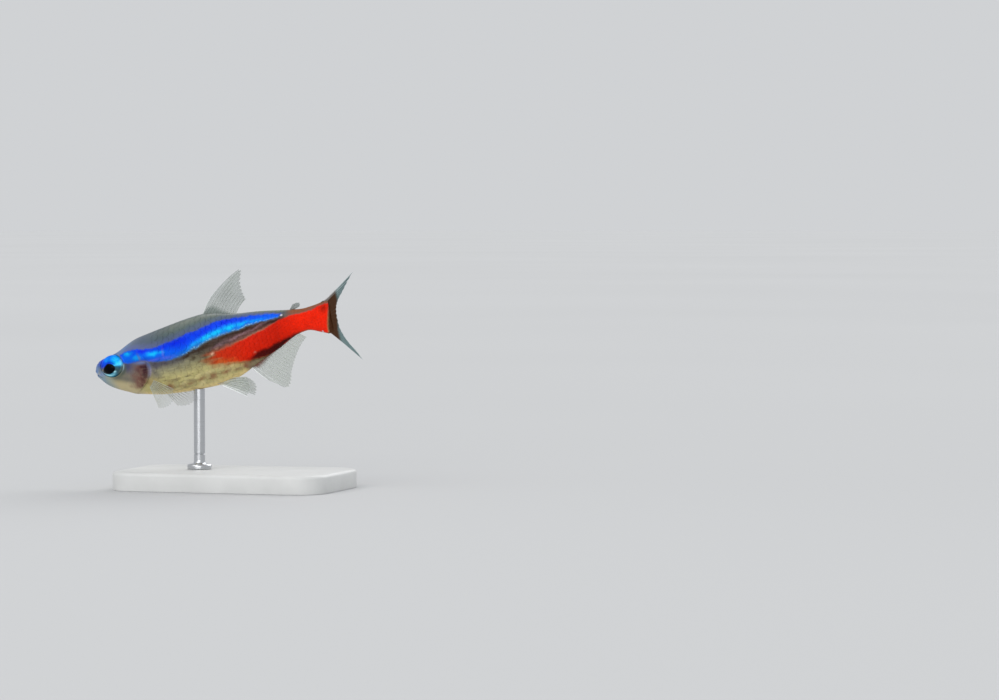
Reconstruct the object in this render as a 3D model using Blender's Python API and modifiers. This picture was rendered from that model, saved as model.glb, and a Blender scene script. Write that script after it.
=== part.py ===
"""Neon tetra, an adult at life size, turning as it swims, held on a small display stand.

The fish is laid out along its spine: x runs back from the snout, y to its right side and
z up, all in metres. The spine bends to the left behind the dorsal fin, and the whole fish
is then pitched nose down with its head towards -X. Stations along the body are fractions
of the standard length, and so are the values of the body's profiles. The origin is on the
floor under the middle of the model.
"""

from math import acos, atan2, cos, pi, radians, sin, sqrt

import bmesh
import bpy
import numpy as np
from mathutils import Matrix, Vector

MM = 0.001

# Driving dimensions
STANDARD_LENGTH = 28.0 * MM
BEND = radians(30.0)
BEND_START = 0.55
PITCH = radians(12.3)
GAP = 0.3 * MM
SNOUT_HEIGHT = 12.5 * MM

# Body profiles, as (station, value) pairs
TOP = [(0, 0), (.01, .019), (.036, .034), (.10, .047), (.155, .066), (.245, .094), (.33, .1077),
       (.42, .119), (.475, .1225), (.52, .117), (.60, .098), (.705, .0855), (.85, .0625),
       (.90, .0575), (.955, .060), (1, .064)]
BOTTOM = [(0, 0), (.007, -.030), (.023, -.0535), (.041, -.0708), (.078, -.094), (.116, -.1115),
          (.194, -.1362), (.275, -.1519), (.40, -.1597), (.48, -.1605), (.569, -.1459),
          (.662, -.1082), (.756, -.0727), (.856, -.0345), (.895, -.0305), (.965, -.050), (1, -.060)]
HALF_WIDTH = [(0, 0), (.005, .019), (.02, .037), (.05, .054), (.09, .066), (.15, .074), (.22, .0785),
              (.30, .080), (.40, .077), (.60, .054), (.80, .0285), (.90, .0195), (1, .0125)]
WIDEST = [(0, .60), (.06, .70), (.25, .58), (.5, .55), (1, .5)]
CROWN = [(0, .8), (.05, .55), (.14, .55), (.25, .8), (.6, .9), (1, 1)]
KEEL = [(0, 1), (.15, .85), (.6, .9), (1, 1)]

# Parting lines of the body
GILL_EDGE = [(-.20, .05), (-.14, .12), (-.11, .19), (-.08, .225), (-.04, .237), (0, .222),
             (.03, .20), (.06, .185), (.20, .175)]
GILL_BULGE = 0.16 * MM
GILL_BULGE_REACH = 1.3 * MM
TRUNK_END = 0.615
HEAD_SPAN = (0, .30)
TRUNK_SPAN = (.03, .66)
STEM_SPAN = (.57, 1.0)
BLOCK_WIDTH = 14.0 * MM
BLOCK_HEIGHT = 12.0 * MM

# Eyes
EYE_STATION = 0.0915
EYE_HEIGHT = -0.03 * MM
EYE_SIDE = 1.31 * MM
EYE_TURN = radians(8.0)
EYE_STRETCH = 1.24
EYE_OUTLINE = [(0, .83), (.20, .815), (.38, .765), (.54, .675), (.64, .585), (.86, .49), (1.0, .395),
               (1.13, .22), (1.20, 0), (1.05, -.35), (.60, -.60), (0, -.68)]
EYE_RADIUS = 1.20 * MM
SOCKET_DEPTH = 1.0 * MM

# Mouth and nostrils
MOUTH_FRONT = Vector((-.6 * MM, 0, .20 * MM))
MOUTH_CORNER = Vector((1.05 * MM, 0, -1.20 * MM))
MOUTH_SLOT = 0.17 * MM
MOUTH_TAPER = 0.6
LIP_RADIUS = 0.17 * MM
LIP_OFFSET = 0.18 * MM
LIP_SINK = 0.08 * MM
LIP_TAPER = 0.55
LIP_STEPS = 8
NOSTRILS = [(.022, .42), (.031, .68)]
NOSTRIL_RADIUS = 0.13 * MM

# Fins
MEMBRANE = 0.5 * MM
RIDGE = 0.74 * MM
FIN_TIP = 0.3 * MM
THIN_FROM = 0.7
ROOT_DEPTH = 0.9 * MM
ADIPOSE_DEPTH = 0.45 * MM
NOTCH = 0.015
DORSAL_BASE = (.480, .610)
DORSAL_RAYS = 11
DORSAL_LENGTH = [(0, 3.0), (.1, 6.1), (.5, 4.15), (.75, 2.95), (1, 1.9)]
DORSAL_ANGLE = [(0, 47), (.1, 39.5), (.5, 41), (1, 42)]
DORSAL_BOW = 0.06
ADIPOSE_BASE = (.836, .858)
ADIPOSE_RAYS = 4
ADIPOSE_LENGTH = [(0, .7), (.5, 1.15), (1, .7)]
ADIPOSE_ANGLE = [(0, 44), (.5, 27), (1, 12)]
ANAL_BASE = (.631, .856)
ANAL_RAYS = 18
ANAL_LENGTH = [(0, 2.2), (.08, 4.4), (.36, 3.1), (.7, 1.75), (1, .95)]
ANAL_ANGLE = [(0, -48), (.1, -45.5), (.4, -43), (1, -34)]
ANAL_BOW = -0.02
CAUDAL_RAYS = 10
UPPER_ROOT = (1.76, .16)
UPPER_TIPS = [(0, 5.79, 3.97), (.15, 4.74, 3.24), (.35, 3.63, 2.37), (.58, 2.52, 1.49),
              (.78, 2.13, .92), (1, 1.98, .2)]
LOWER_ROOT = (-1.66, -.16)
LOWER_TIPS = [(0, 4.49, -5.25), (.15, 3.81, -4.29), (.35, 2.98, -3.30), (.58, 2.33, -2.23),
              (.8, 1.95, -1.08), (1, 1.9, -.25)]
CAUDAL_FLARE = 1.05
PECTORAL_ROOT = Vector((.236, .058, -.100))
PECTORAL_WAY = Vector((2.5, 2.1, -2.7))
PECTORAL_SPREAD = Vector((.55, .2, .8))
PECTORAL_RAYS = 10
PECTORAL_LENGTH = [(0, 3.0), (.35, 4.0), (.7, 4.5), (1, 4.3)]
PECTORAL_FAN = (-19, 19)
PECTORAL_BASE = 0.9 * MM
PELVIC_ROOT = Vector((.512, .020, -.150))
PELVIC_WAY = Vector((2.9, .55, -1.85))
PELVIC_SPREAD = Vector((.5, -.35, .9))
PELVIC_RAYS = 8
PELVIC_LENGTH = [(0, 3.5), (.4, 3.4), (.8, 2.8), (1, 2.2)]
PELVIC_FAN = (0, 26)
PELVIC_BASE = 0.8 * MM

# Stand
BASE_LENGTH = 24.0 * MM
BASE_WIDTH = 15.0 * MM
BASE_HEIGHT = 2.0 * MM
BASE_CORNER = 3.0 * MM
BASE_EDGE = 0.4 * MM
ROD_RADIUS = 0.6 * MM
FOOT_RADIUS = 1.3 * MM
FOOT_HEIGHT = 0.5 * MM
ROD_STATION = 0.40

# Mesh density, as rings along and segments round a piece
HEAD_MESH = (34, 44)
TRUNK_MESH = (30, 40)
STEM_MESH = (24, 36)
CLEARANCE_MESH = (54, 36)
SOCKET_MESH = (12, 28)
NOSTRIL_MESH = (6, 8)
EYE_STEPS = 28
ROD_STEPS = 20
LIP_SEGMENTS = 2
CORNER_SEGMENTS = 6
EDGE_SEGMENTS = 2
SHARP_ANGLE = radians(40.0)
WELD = 0.001 * MM


class Profile:
    """A smooth curve through a few points that never overshoots them."""

    def __init__(self, points, blunt=False):
        self.blunt = blunt
        self.at = np.array([float(p[0]) for p in points])
        if blunt:
            self.at = np.sqrt(self.at)
        self.value = np.array([float(p[1]) for p in points])
        step = np.diff(self.at)
        rise = np.diff(self.value) / step
        self.slope = np.concatenate([rise[:1], np.zeros(len(rise) - 1), rise[-1:]])
        for i in range(1, len(rise)):
            if rise[i - 1] * rise[i] > 0:
                near = 2 * step[i] + step[i - 1]
                far = step[i] + 2 * step[i - 1]
                self.slope[i] = (near + far) / (near / rise[i - 1] + far / rise[i])

    def __call__(self, at):
        at = sqrt(max(at, 0.0)) if self.blunt else at
        at = min(max(at, self.at[0]), self.at[-1])
        i = min(max(int(np.searchsorted(self.at, at)) - 1, 0), len(self.at) - 2)
        step = self.at[i + 1] - self.at[i]
        u = (at - self.at[i]) / step
        start = self.value[i] * (1 + 2 * u) * (1 - u) ** 2 + self.slope[i] * step * u * (1 - u) ** 2
        end = self.value[i + 1] * u * u * (3 - 2 * u) + self.slope[i + 1] * step * u * u * (u - 1)
        return float(start + end)


top_line = Profile(TOP, blunt=True)
bottom_line = Profile(BOTTOM, blunt=True)
width_line = Profile(HALF_WIDTH, blunt=True)
widest_line = Profile(WIDEST)
crown_line = Profile(CROWN)
keel_line = Profile(KEEL)
gill_line = Profile(GILL_EDGE)


# The bent spine

SPINE_STEP = 0.05 * MM
SPINE_REACH = 1.35 * STANDARD_LENGTH
STEPS = np.arange(0.0, SPINE_REACH, SPINE_STEP)


def heading(x):
    """Give the turn of the spine at x, to the left."""
    along = (min(x / STANDARD_LENGTH, 1.0) - BEND_START) / (1 - BEND_START)
    return BEND * max(along, 0.0) ** 2


HEADINGS = np.array([heading(x) for x in STEPS])
SPINE_X = np.concatenate([[0.0], np.cumsum(np.cos(HEADINGS[:-1])) * SPINE_STEP])
SPINE_Y = np.concatenate([[0.0], np.cumsum(-np.sin(HEADINGS[:-1])) * SPINE_STEP])


def place(x, y, z):
    """Carry a point of the straight fish to its place on the bent one."""
    turn = heading(x)
    spine_x = float(np.interp(x, STEPS, SPINE_X)) + min(x, 0.0)
    spine_y = float(np.interp(x, STEPS, SPINE_Y))
    return Vector((spine_x + y * sin(turn), spine_y + y * cos(turn), z))


def section_point(station, angle):
    """Give the side and height of the body's skin at a station, round its section."""
    top = top_line(station) * STANDARD_LENGTH
    bottom = bottom_line(station) * STANDARD_LENGTH
    middle = bottom + widest_line(station) * (top - bottom)
    upper = sin(angle) > 0
    reach = top - middle if upper else middle - bottom
    fullness = (crown_line if upper else keel_line)(station)
    side = abs(cos(angle)) ** fullness * width_line(station) * STANDARD_LENGTH
    return (side if cos(angle) > 0 else -side), middle + reach * sin(angle)


def flank(station, height):
    """Give the body's half width at a station and height."""
    top = top_line(station) * STANDARD_LENGTH
    bottom = bottom_line(station) * STANDARD_LENGTH
    middle = bottom + widest_line(station) * (top - bottom)
    upper = height > middle
    reach = top - middle if upper else middle - bottom
    share = min(abs(height - middle) / max(reach, 1e-9), 1.0)
    fullness = (crown_line if upper else keel_line)(station)
    return sqrt(1 - share * share) ** fullness * width_line(station) * STANDARD_LENGTH


# Helpers for objects

def new_object(name, mesh, collection):
    """Link a mesh as an object."""
    obj = bpy.data.objects.new(name, mesh)
    collection.objects.link(obj)
    return obj


def mesh_from(bm, name):
    """Write a bmesh with its faces turned outwards."""
    bmesh.ops.recalc_face_normals(bm, faces=bm.faces)
    mesh = bpy.data.meshes.new(name)
    bm.to_mesh(mesh)
    bm.free()
    return mesh


def keep_largest(bm):
    """Drop every loose shell but the one with the most faces."""
    left = set(bm.faces)
    shells = []
    while left:
        seed = left.pop()
        shell = {seed}
        border = [seed]
        while border:
            for edge in border.pop().edges:
                for face in edge.link_faces:
                    if face in left:
                        left.remove(face)
                        shell.add(face)
                        border.append(face)
        shells.append(shell)
    shells.sort(key=len)
    loose = [face for shell in shells[:-1] for face in shell]
    bmesh.ops.delete(bm, geom=loose, context="FACES")


def settle(obj):
    """Apply an object's modifiers and keep its one closed body."""
    bpy.context.view_layer.update()
    graph = bpy.context.evaluated_depsgraph_get()
    mesh = bpy.data.meshes.new_from_object(obj.evaluated_get(graph))
    bm = bmesh.new()
    bm.from_mesh(mesh)
    keep_largest(bm)
    bm.to_mesh(mesh)
    bm.free()
    mesh.name = obj.name
    obj.modifiers.clear()
    obj.data = mesh


def combine(obj, other, operation):
    """Cut, join or intersect an object with another, and settle it."""
    change = obj.modifiers.new(operation.lower(), "BOOLEAN")
    change.operation = operation
    change.object = other
    settle(obj)


def remove(obj):
    """Take a used helper object out of the scene."""
    bpy.data.objects.remove(obj, do_unlink=True)


def paint(obj, colour, roughness, metallic=0.0):
    """Give an object its own Principled material."""
    material = bpy.data.materials.new(obj.name)
    material.use_nodes = True
    shader = material.node_tree.nodes["Principled BSDF"]
    shader.inputs["Base Color"].default_value = (*colour, 1.0)
    shader.inputs["Roughness"].default_value = roughness
    shader.inputs["Metallic"].default_value = metallic
    obj.data.materials.clear()
    obj.data.materials.append(material)
    obj.data.shade_smooth()
    obj.data.set_sharp_from_angle(angle=SHARP_ANGLE)


def curve_mesh(name, curve, turn, collection):
    """Make a closed mesh object from a curve, with its caps welded on."""
    obj = new_object(name + "_curve", curve, collection)
    obj.matrix_world = turn
    bpy.context.view_layer.update()
    graph = bpy.context.evaluated_depsgraph_get()
    mesh = bpy.data.meshes.new_from_object(obj.evaluated_get(graph))
    bm = bmesh.new()
    bm.from_mesh(mesh)
    bmesh.ops.remove_doubles(bm, verts=bm.verts, dist=WELD)
    bmesh.ops.recalc_face_normals(bm, faces=bm.faces)
    bm.to_mesh(mesh)
    bm.free()
    solid = new_object(name, mesh, collection)
    solid.matrix_world = obj.matrix_world
    remove(obj)
    return solid


def block(name, outline, width, collection):
    """Extrude an outline of (x, z) points across the fish."""
    curve = bpy.data.curves.new(name, "CURVE")
    curve.dimensions = "2D"
    curve.fill_mode = "BOTH"
    curve.extrude = width / 2
    spline = curve.splines.new("POLY")
    spline.points.add(len(outline) - 1)
    for point, (x, z) in zip(spline.points, outline):
        point.co = (x, z, 0, 1)
    spline.use_cyclic_u = True
    return curve_mesh(name, curve, Matrix.Rotation(pi / 2, 4, "X"), collection)


def tube(name, points, radius, taper, collection):
    """Run a round bar along a list of points, thinner towards its ends."""
    curve = bpy.data.curves.new(name, "CURVE")
    curve.dimensions = "3D"
    curve.bevel_depth = radius
    curve.bevel_resolution = LIP_SEGMENTS
    curve.use_fill_caps = True
    spline = curve.splines.new("POLY")
    spline.points.add(len(points) - 1)
    for i, (point, co) in enumerate(zip(spline.points, points)):
        point.co = (*co, 1)
        point.radius = 1 - (1 - taper) * abs(2 * i / (len(points) - 1) - 1) ** 2
    return curve_mesh(name, curve, Matrix.Identity(4), collection)


# Body

def flesh(name, span, density, crowding, collection, bulge=0.0, grow=0.0):
    """Wrap a sphere round the body's profile between two stations."""
    first, last = span
    rings, segments = density
    bm = bmesh.new()
    bmesh.ops.create_uvsphere(bm, u_segments=segments, v_segments=rings, radius=1.0)
    blunt_nose = first == 0
    start = 0 if blunt_nose else 1
    for vert in bm.verts:
        ring = round(acos(max(-1.0, min(1.0, vert.co.z))) / pi * rings)
        pole = ring in (0, rings)
        share = min(max(ring - start, 0) / (rings - 1 - start), 1.0)
        station = first + (last - first) * share ** crowding
        side, height = section_point(station, atan2(vert.co.y, vert.co.x))
        if pole:
            side = 0.0
            height = section_point(station, 0.0)[1]
        behind = station * STANDARD_LENGTH - gill_line(height / STANDARD_LENGTH) * STANDARD_LENGTH
        side += np.sign(side) * bulge * np.exp(-(behind / GILL_BULGE_REACH) ** 2)
        vert.co = place(station * STANDARD_LENGTH, side, height)
    bm.normal_update()
    bmesh.ops.recalc_face_normals(bm, faces=bm.faces)
    bm.normal_update()
    if grow:
        for vert, normal in [(v, v.normal.copy()) for v in bm.verts]:
            vert.co += normal * grow
    return new_object(name, mesh_from(bm, name), collection)


def gill_outline(shift):
    """Trace the gill edge from the belly up, moved back by a distance."""
    heights = np.linspace(GILL_EDGE[0][0], GILL_EDGE[-1][0], 25)
    return [(gill_line(h) * STANDARD_LENGTH + shift, h * STANDARD_LENGTH) for h in heights]


def eye_frame(side):
    """Give the matrix that faces an eye's axis out of the head."""
    centre = place(EYE_STATION * STANDARD_LENGTH, side * EYE_SIDE, EYE_HEIGHT)
    face = Matrix.Rotation(-side * pi / 2, 4, "X")
    return Matrix.Translation(centre) @ Matrix.Rotation(side * EYE_TURN, 4, "Z") @ face


def make_eye(name, side, collection):
    """Turn an eyeball with its raised lens."""
    bm = bmesh.new()
    verts = [bm.verts.new((r * MM, 0, h * MM)) for r, h in EYE_OUTLINE]
    for a, b in zip(verts, verts[1:]):
        bm.edges.new((a, b))
    mesh = bpy.data.meshes.new(name)
    bm.to_mesh(mesh)
    bm.free()
    eye = new_object(name, mesh, collection)
    eye.matrix_world = eye_frame(side)
    turn = eye.modifiers.new("turn", "SCREW")
    turn.steps = EYE_STEPS
    turn.render_steps = EYE_STEPS
    turn.use_merge_vertices = True
    turn.merge_threshold = WELD
    settle(eye)
    eye.data.transform(Matrix.Diagonal((EYE_STRETCH, 1, 1, 1)))
    return eye


def lip_path(offset):
    """Trace one lip on the skin, from the left corner of the mouth round to the right one."""
    way = MOUTH_CORNER - MOUTH_FRONT
    slope = way.z / way.x

    def height_at(x):
        return MOUTH_FRONT.z + (x - MOUTH_FRONT.x) * slope + offset * sqrt(1 + slope * slope)

    tip = 0.0
    while flank(tip / STANDARD_LENGTH, height_at(tip)) <= 0:
        tip += 0.01 * MM
    path = []
    for step in range(-LIP_STEPS, LIP_STEPS + 1):
        share = abs(step) / LIP_STEPS
        x = tip + LIP_SINK + (MOUTH_CORNER.x - tip - LIP_SINK) * share ** 2
        side = max(flank(x / STANDARD_LENGTH, height_at(x)) - LIP_SINK, 0.0)
        path.append(Vector((x, side * np.sign(step), height_at(x))))
    return path


def mouth_outline():
    """Give the outline of the slot between the lips."""
    way = (MOUTH_CORNER - MOUTH_FRONT).normalized()
    across = Vector((-way.z, 0, way.x)) * MOUTH_SLOT / 2
    corners = [MOUTH_FRONT - way * MM + across, MOUTH_CORNER + across * MOUTH_TAPER,
               MOUTH_CORNER - across * MOUTH_TAPER, MOUTH_FRONT - way * MM - across]
    return [(c.x, c.z) for c in corners]


def ball(name, matrix, radii, density, collection):
    """Make an ellipsoid."""
    rings, segments = density
    bm = bmesh.new()
    bmesh.ops.create_uvsphere(bm, u_segments=segments, v_segments=rings, radius=1.0)
    bm.transform(matrix @ Matrix.Diagonal((*radii, 1.0)))
    return new_object(name, mesh_from(bm, name), collection)


def make_head(parts, cutters):
    """Shape the head with its lips, mouth, nostrils, eye sockets and gill covers."""
    head = flesh("head", HEAD_SPAN, HEAD_MESH, 1.5, parts, bulge=GILL_BULGE)
    front = [(-BLOCK_HEIGHT, BLOCK_HEIGHT), (-BLOCK_HEIGHT, -BLOCK_HEIGHT)]
    zone = block("head_zone", front + gill_outline(-GAP / 2), BLOCK_WIDTH, cutters)
    combine(head, zone, "INTERSECT")
    remove(zone)
    for offset in (LIP_OFFSET, -LIP_OFFSET):
        lip = tube("lip", lip_path(offset), LIP_RADIUS, LIP_TAPER, cutters)
        combine(head, lip, "UNION")
        remove(lip)
    slot = block("mouth_slot", mouth_outline(), BLOCK_WIDTH, cutters)
    combine(head, slot, "DIFFERENCE")
    remove(slot)
    tall = EYE_RADIUS + GAP
    for side in (-1, 1):
        socket = ball("socket", eye_frame(side), (tall * EYE_STRETCH, tall, SOCKET_DEPTH),
                      SOCKET_MESH, cutters)
        combine(head, socket, "DIFFERENCE")
        remove(socket)
        for station, height in NOSTRILS:
            out = side * flank(station, height * MM)
            spot = place(station * STANDARD_LENGTH, out, height * MM)
            pit = ball("nostril", Matrix.Translation(spot), [NOSTRIL_RADIUS] * 3, NOSTRIL_MESH,
                       cutters)
            combine(head, pit, "DIFFERENCE")
            remove(pit)
    return head


def make_trunk(parts, cutters):
    """Shape the trunk between the gill covers and the tail stem."""
    trunk = flesh("trunk", TRUNK_SPAN, TRUNK_MESH, 1.0, parts)
    end = place(TRUNK_END * STANDARD_LENGTH, 0, 0).x - GAP / 2
    back = [(end, BLOCK_HEIGHT), (end, -BLOCK_HEIGHT)]
    gill = gill_outline(GAP / 2)
    rim = [(gill[0][0], -BLOCK_HEIGHT)] + gill + [(gill[-1][0], BLOCK_HEIGHT)]
    zone = block("trunk_zone", rim + back, BLOCK_WIDTH, cutters)
    combine(trunk, zone, "INTERSECT")
    remove(zone)
    return trunk


def make_tail_stem(parts, cutters):
    """Shape the tapering stem that carries the anal and caudal fins."""
    stem = flesh("tail_stem", STEM_SPAN, STEM_MESH, 1.0, parts)
    start = place(TRUNK_END * STANDARD_LENGTH, 0, 0).x + GAP / 2
    reach = 1.5 * STANDARD_LENGTH
    outline = [(start, -BLOCK_HEIGHT), (reach, -BLOCK_HEIGHT), (reach, BLOCK_HEIGHT),
               (start, BLOCK_HEIGHT)]
    zone = block("stem_zone", outline, 2 * BLOCK_WIDTH, cutters)
    combine(stem, zone, "INTERSECT")
    remove(zone)
    return stem


# Fins

def blade(name, rays, rows, point, collection):
    """Make a fin from a grid of rays, with each ray raised in the membrane on both faces."""
    bm = bmesh.new()
    columns = 2 * (rays - 1)
    bmesh.ops.create_grid(bm, x_segments=columns, y_segments=rows, size=0.5)
    bmesh.ops.triangulate(bm, faces=bm.faces, quad_method="FIXED")
    thickness = {}
    bm.verts.index_update()
    for vert in bm.verts:
        across = vert.co.x + 0.5
        along = vert.co.y + 0.5
        on_ray = round(across * columns) % 2 == 0
        body = RIDGE if on_ray else MEMBRANE
        thinned = max(along - THIN_FROM, 0.0) / (1 - THIN_FROM)
        thickness[vert.index] = body + (FIN_TIP - body) * thinned
        reach = along if on_ray else along * (1 - NOTCH)
        vert.co = place(*point(across, reach))
    mesh = mesh_from(bm, name)
    fin = new_object(name, mesh, collection)
    group = fin.vertex_groups.new(name="thickness")
    for index, value in thickness.items():
        group.add([index], value / RIDGE, "REPLACE")
    solid = fin.modifiers.new("solid", "SOLIDIFY")
    solid.thickness = RIDGE
    solid.offset = 0.0
    solid.vertex_group = group.name
    solid.thickness_vertex_group = 0.0
    settle(fin)
    return fin


def median_point(base, line, length, angle, bow=0.0, depth=ROOT_DEPTH):
    """Give the ray rule of a fin that stands in the fish's middle plane."""
    reach = Profile(length)
    lean = Profile(angle)

    def point(across, along):
        station = base[0] + (base[1] - base[0]) * across
        way = radians(lean(across))
        full = reach(across) * MM
        run = -depth + along * (full + depth)
        share = max(run, 0.0) / full
        lift = 4 * bow * full * share * (1 - share)
        return (station * STANDARD_LENGTH + run * cos(way) - lift * sin(way), 0.0,
                line(station) * STANDARD_LENGTH + run * sin(way) + lift * cos(way))

    return point


def lobe_point(root, tips):
    """Give the ray rule of one lobe of the caudal fin."""
    tip_x = Profile([(t, x) for t, x, z in tips])
    tip_z = Profile([(t, z) for t, x, z in tips])

    def point(across, along):
        start = root[0] + (root[1] - root[0]) * across
        x = STANDARD_LENGTH + GAP + along * (tip_x(across) * MM - GAP)
        return x, 0.0, (start + (tip_z(across) - start) * along ** CAUDAL_FLARE) * MM

    return point


def paired_point(side, root, way, spread, base, length, fan):
    """Give the ray rule of a fin on one side of the fish."""
    middle = Vector((way.x, side * way.y, way.z)).normalized()
    lift = Vector((spread.x, side * spread.y, spread.z))
    lift = (lift - middle * lift.dot(middle)).normalized()
    reach = Profile(length)
    centre = Vector((root.x, side * root.y, root.z)) * STANDARD_LENGTH

    def point(across, along):
        turn = radians(fan[0] + (fan[1] - fan[0]) * across)
        run = -ROOT_DEPTH + along * (reach(across) * MM + ROOT_DEPTH)
        return centre + lift * base * (across - 0.5) + (middle * cos(turn) + lift * sin(turn)) * run

    return point


def make_fins(parts, clearance):
    """Make every fin, each cut clear of the skin that it grows from."""
    rules = {
        "dorsal_fin": (DORSAL_RAYS, 5, median_point(
            DORSAL_BASE, top_line, DORSAL_LENGTH, DORSAL_ANGLE, DORSAL_BOW)),
        "adipose_fin": (ADIPOSE_RAYS, 3, median_point(
            ADIPOSE_BASE, top_line, ADIPOSE_LENGTH, ADIPOSE_ANGLE, depth=ADIPOSE_DEPTH)),
        "anal_fin": (ANAL_RAYS, 5, median_point(
            ANAL_BASE, bottom_line, ANAL_LENGTH, ANAL_ANGLE, ANAL_BOW)),
        "caudal_lobe_upper": (CAUDAL_RAYS, 6, lobe_point(UPPER_ROOT, UPPER_TIPS)),
        "caudal_lobe_lower": (CAUDAL_RAYS, 6, lobe_point(LOWER_ROOT, LOWER_TIPS)),
    }
    for word, side in (("left", -1), ("right", 1)):
        rules["pectoral_fin_" + word] = (PECTORAL_RAYS, 5, paired_point(
            side, PECTORAL_ROOT, PECTORAL_WAY, PECTORAL_SPREAD, PECTORAL_BASE,
            PECTORAL_LENGTH, PECTORAL_FAN))
        rules["pelvic_fin_" + word] = (PELVIC_RAYS, 5, paired_point(
            side, PELVIC_ROOT, PELVIC_WAY, PELVIC_SPREAD, PELVIC_BASE,
            PELVIC_LENGTH, PELVIC_FAN))
    fins = []
    for name, (rays, rows, point) in rules.items():
        fin = blade(name, rays, rows, point, parts)
        if not name.startswith("caudal"):
            combine(fin, clearance, "DIFFERENCE")
        fins.append(fin)
    return fins


# Stand

def make_base(parts):
    """Make the flat base with round corners and a softened top edge."""
    bpy.ops.mesh.primitive_cube_add(size=1.0)
    base = bpy.context.object
    base.name = "stand_base"
    for owner in base.users_collection:
        owner.objects.unlink(base)
    parts.objects.link(base)
    base.data.transform(Matrix.Diagonal((BASE_LENGTH, BASE_WIDTH, BASE_HEIGHT, 1)))
    base.data.transform(Matrix.Translation((0, 0, BASE_HEIGHT / 2)))
    bm = bmesh.new()
    bm.from_mesh(base.data)
    upright = [e for e in bm.edges if abs(e.verts[0].co.z - e.verts[1].co.z) > BASE_HEIGHT / 2]
    bmesh.ops.bevel(bm, geom=upright, offset=BASE_CORNER, segments=CORNER_SEGMENTS, profile=0.5,
                    affect="EDGES")
    rim = [e for e in bm.edges if min(v.co.z for v in e.verts) > BASE_HEIGHT * 0.99]
    bmesh.ops.bevel(bm, geom=rim, offset=BASE_EDGE, segments=EDGE_SEGMENTS, profile=0.5,
                    affect="EDGES")
    bm.to_mesh(base.data)
    bm.free()
    return base


def make_rod(parts, clearance, centre):
    """Turn the rod with its round foot and cut its top to the belly."""
    bottom = BASE_HEIGHT + GAP
    top = SNOUT_HEIGHT
    outline = [(0, top), (ROD_RADIUS, top), (ROD_RADIUS, bottom + FOOT_HEIGHT),
               (FOOT_RADIUS, bottom + FOOT_HEIGHT), (FOOT_RADIUS, bottom), (0, bottom)]
    bm = bmesh.new()
    verts = [bm.verts.new((r, 0, z)) for r, z in outline]
    for a, b in zip(verts, verts[1:]):
        bm.edges.new((a, b))
    mesh = bpy.data.meshes.new("stand_rod")
    bm.to_mesh(mesh)
    bm.free()
    rod = new_object("stand_rod", mesh, parts)
    rod.location = (centre, 0, 0)
    turn = rod.modifiers.new("turn", "SCREW")
    turn.steps = ROD_STEPS
    turn.render_steps = ROD_STEPS
    turn.use_merge_vertices = True
    turn.merge_threshold = WELD
    settle(rod)
    combine(rod, clearance, "DIFFERENCE")
    return rod


COLOURS = {
    "head": ((.30, .34, .30), .35), "trunk": ((.22, .30, .34), .35),
    "tail_stem": ((.55, .10, .05), .35), "eye_left": ((.02, .25, .45), .1),
    "eye_right": ((.02, .25, .45), .1), "dorsal_fin": ((.45, .45, .42), .4),
    "adipose_fin": ((.5, .5, .46), .4), "anal_fin": ((.55, .52, .48), .4),
    "caudal_lobe_upper": ((.5, .5, .52), .4), "caudal_lobe_lower": ((.5, .5, .52), .4),
    "pectoral_fin_left": ((.6, .6, .58), .4), "pectoral_fin_right": ((.6, .6, .58), .4),
    "pelvic_fin_left": ((.6, .58, .55), .4), "pelvic_fin_right": ((.6, .58, .55), .4),
    "stand_base": ((.66, .67, .67), .35), "stand_rod": ((.6, .6, .62), .25),
}


def main():
    """Build the fish, pitch it, and set it on its stand."""
    for obj in list(bpy.data.objects):
        bpy.data.objects.remove(obj, do_unlink=True)
    parts = bpy.data.collections.new("neon_tetra")
    cutters = bpy.data.collections.new("cutters")
    bpy.context.scene.collection.children.link(parts)
    bpy.context.scene.collection.children.link(cutters)

    clearance = flesh("skin_clearance", (0, 1.0), CLEARANCE_MESH, 1.2, cutters, grow=GAP)
    clearance.hide_render = True
    clearance.display_type = "WIRE"
    pieces = [make_head(parts, cutters), make_trunk(parts, cutters), make_tail_stem(parts, cutters)]
    pieces.append(make_eye("eye_left", -1, parts))
    pieces.append(make_eye("eye_right", 1, parts))
    pieces.extend(make_fins(parts, clearance))

    rear = place(STANDARD_LENGTH + LOWER_TIPS[0][1] * MM, 0, 0).x
    reach = rear * cos(PITCH) - LOWER_TIPS[0][2] * MM * sin(PITCH)
    fish = bpy.data.objects.new("fish", None)
    parts.objects.link(fish)
    fish.location = (-reach / 2, 0, SNOUT_HEIGHT)
    fish.rotation_euler = (0, -PITCH, 0)
    for piece in pieces + [clearance]:
        piece.parent = fish

    belly = bottom_line(ROD_STATION) * STANDARD_LENGTH
    rod_x = -reach / 2 + ROD_STATION * STANDARD_LENGTH * cos(PITCH) - belly * sin(PITCH)
    pieces.append(make_base(parts))
    pieces.append(make_rod(parts, clearance, rod_x))
    for piece in pieces:
        colour, roughness = COLOURS[piece.name]
        paint(piece, colour, roughness, metallic=1.0 if piece.name == "stand_rod" else 0.0)


main()
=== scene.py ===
"""Looks of the life-size neon tetra: skin, scales, eyes, fins, display stand and a plain studio.

The fish is laid out straight, in millimetres: x runs back from the snout, y to its right
side and z up. It is then bent along its spine, pitched nose down and moved to its place,
as in the part's source. Stations are fractions of the standard length.
"""

import logging
from dataclasses import dataclass, field
from enum import Enum
from math import cos, pi, radians, sin
from typing import Callable, Sequence

import bmesh
import bpy
import numpy as np
from mathutils import Matrix, Vector


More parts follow.
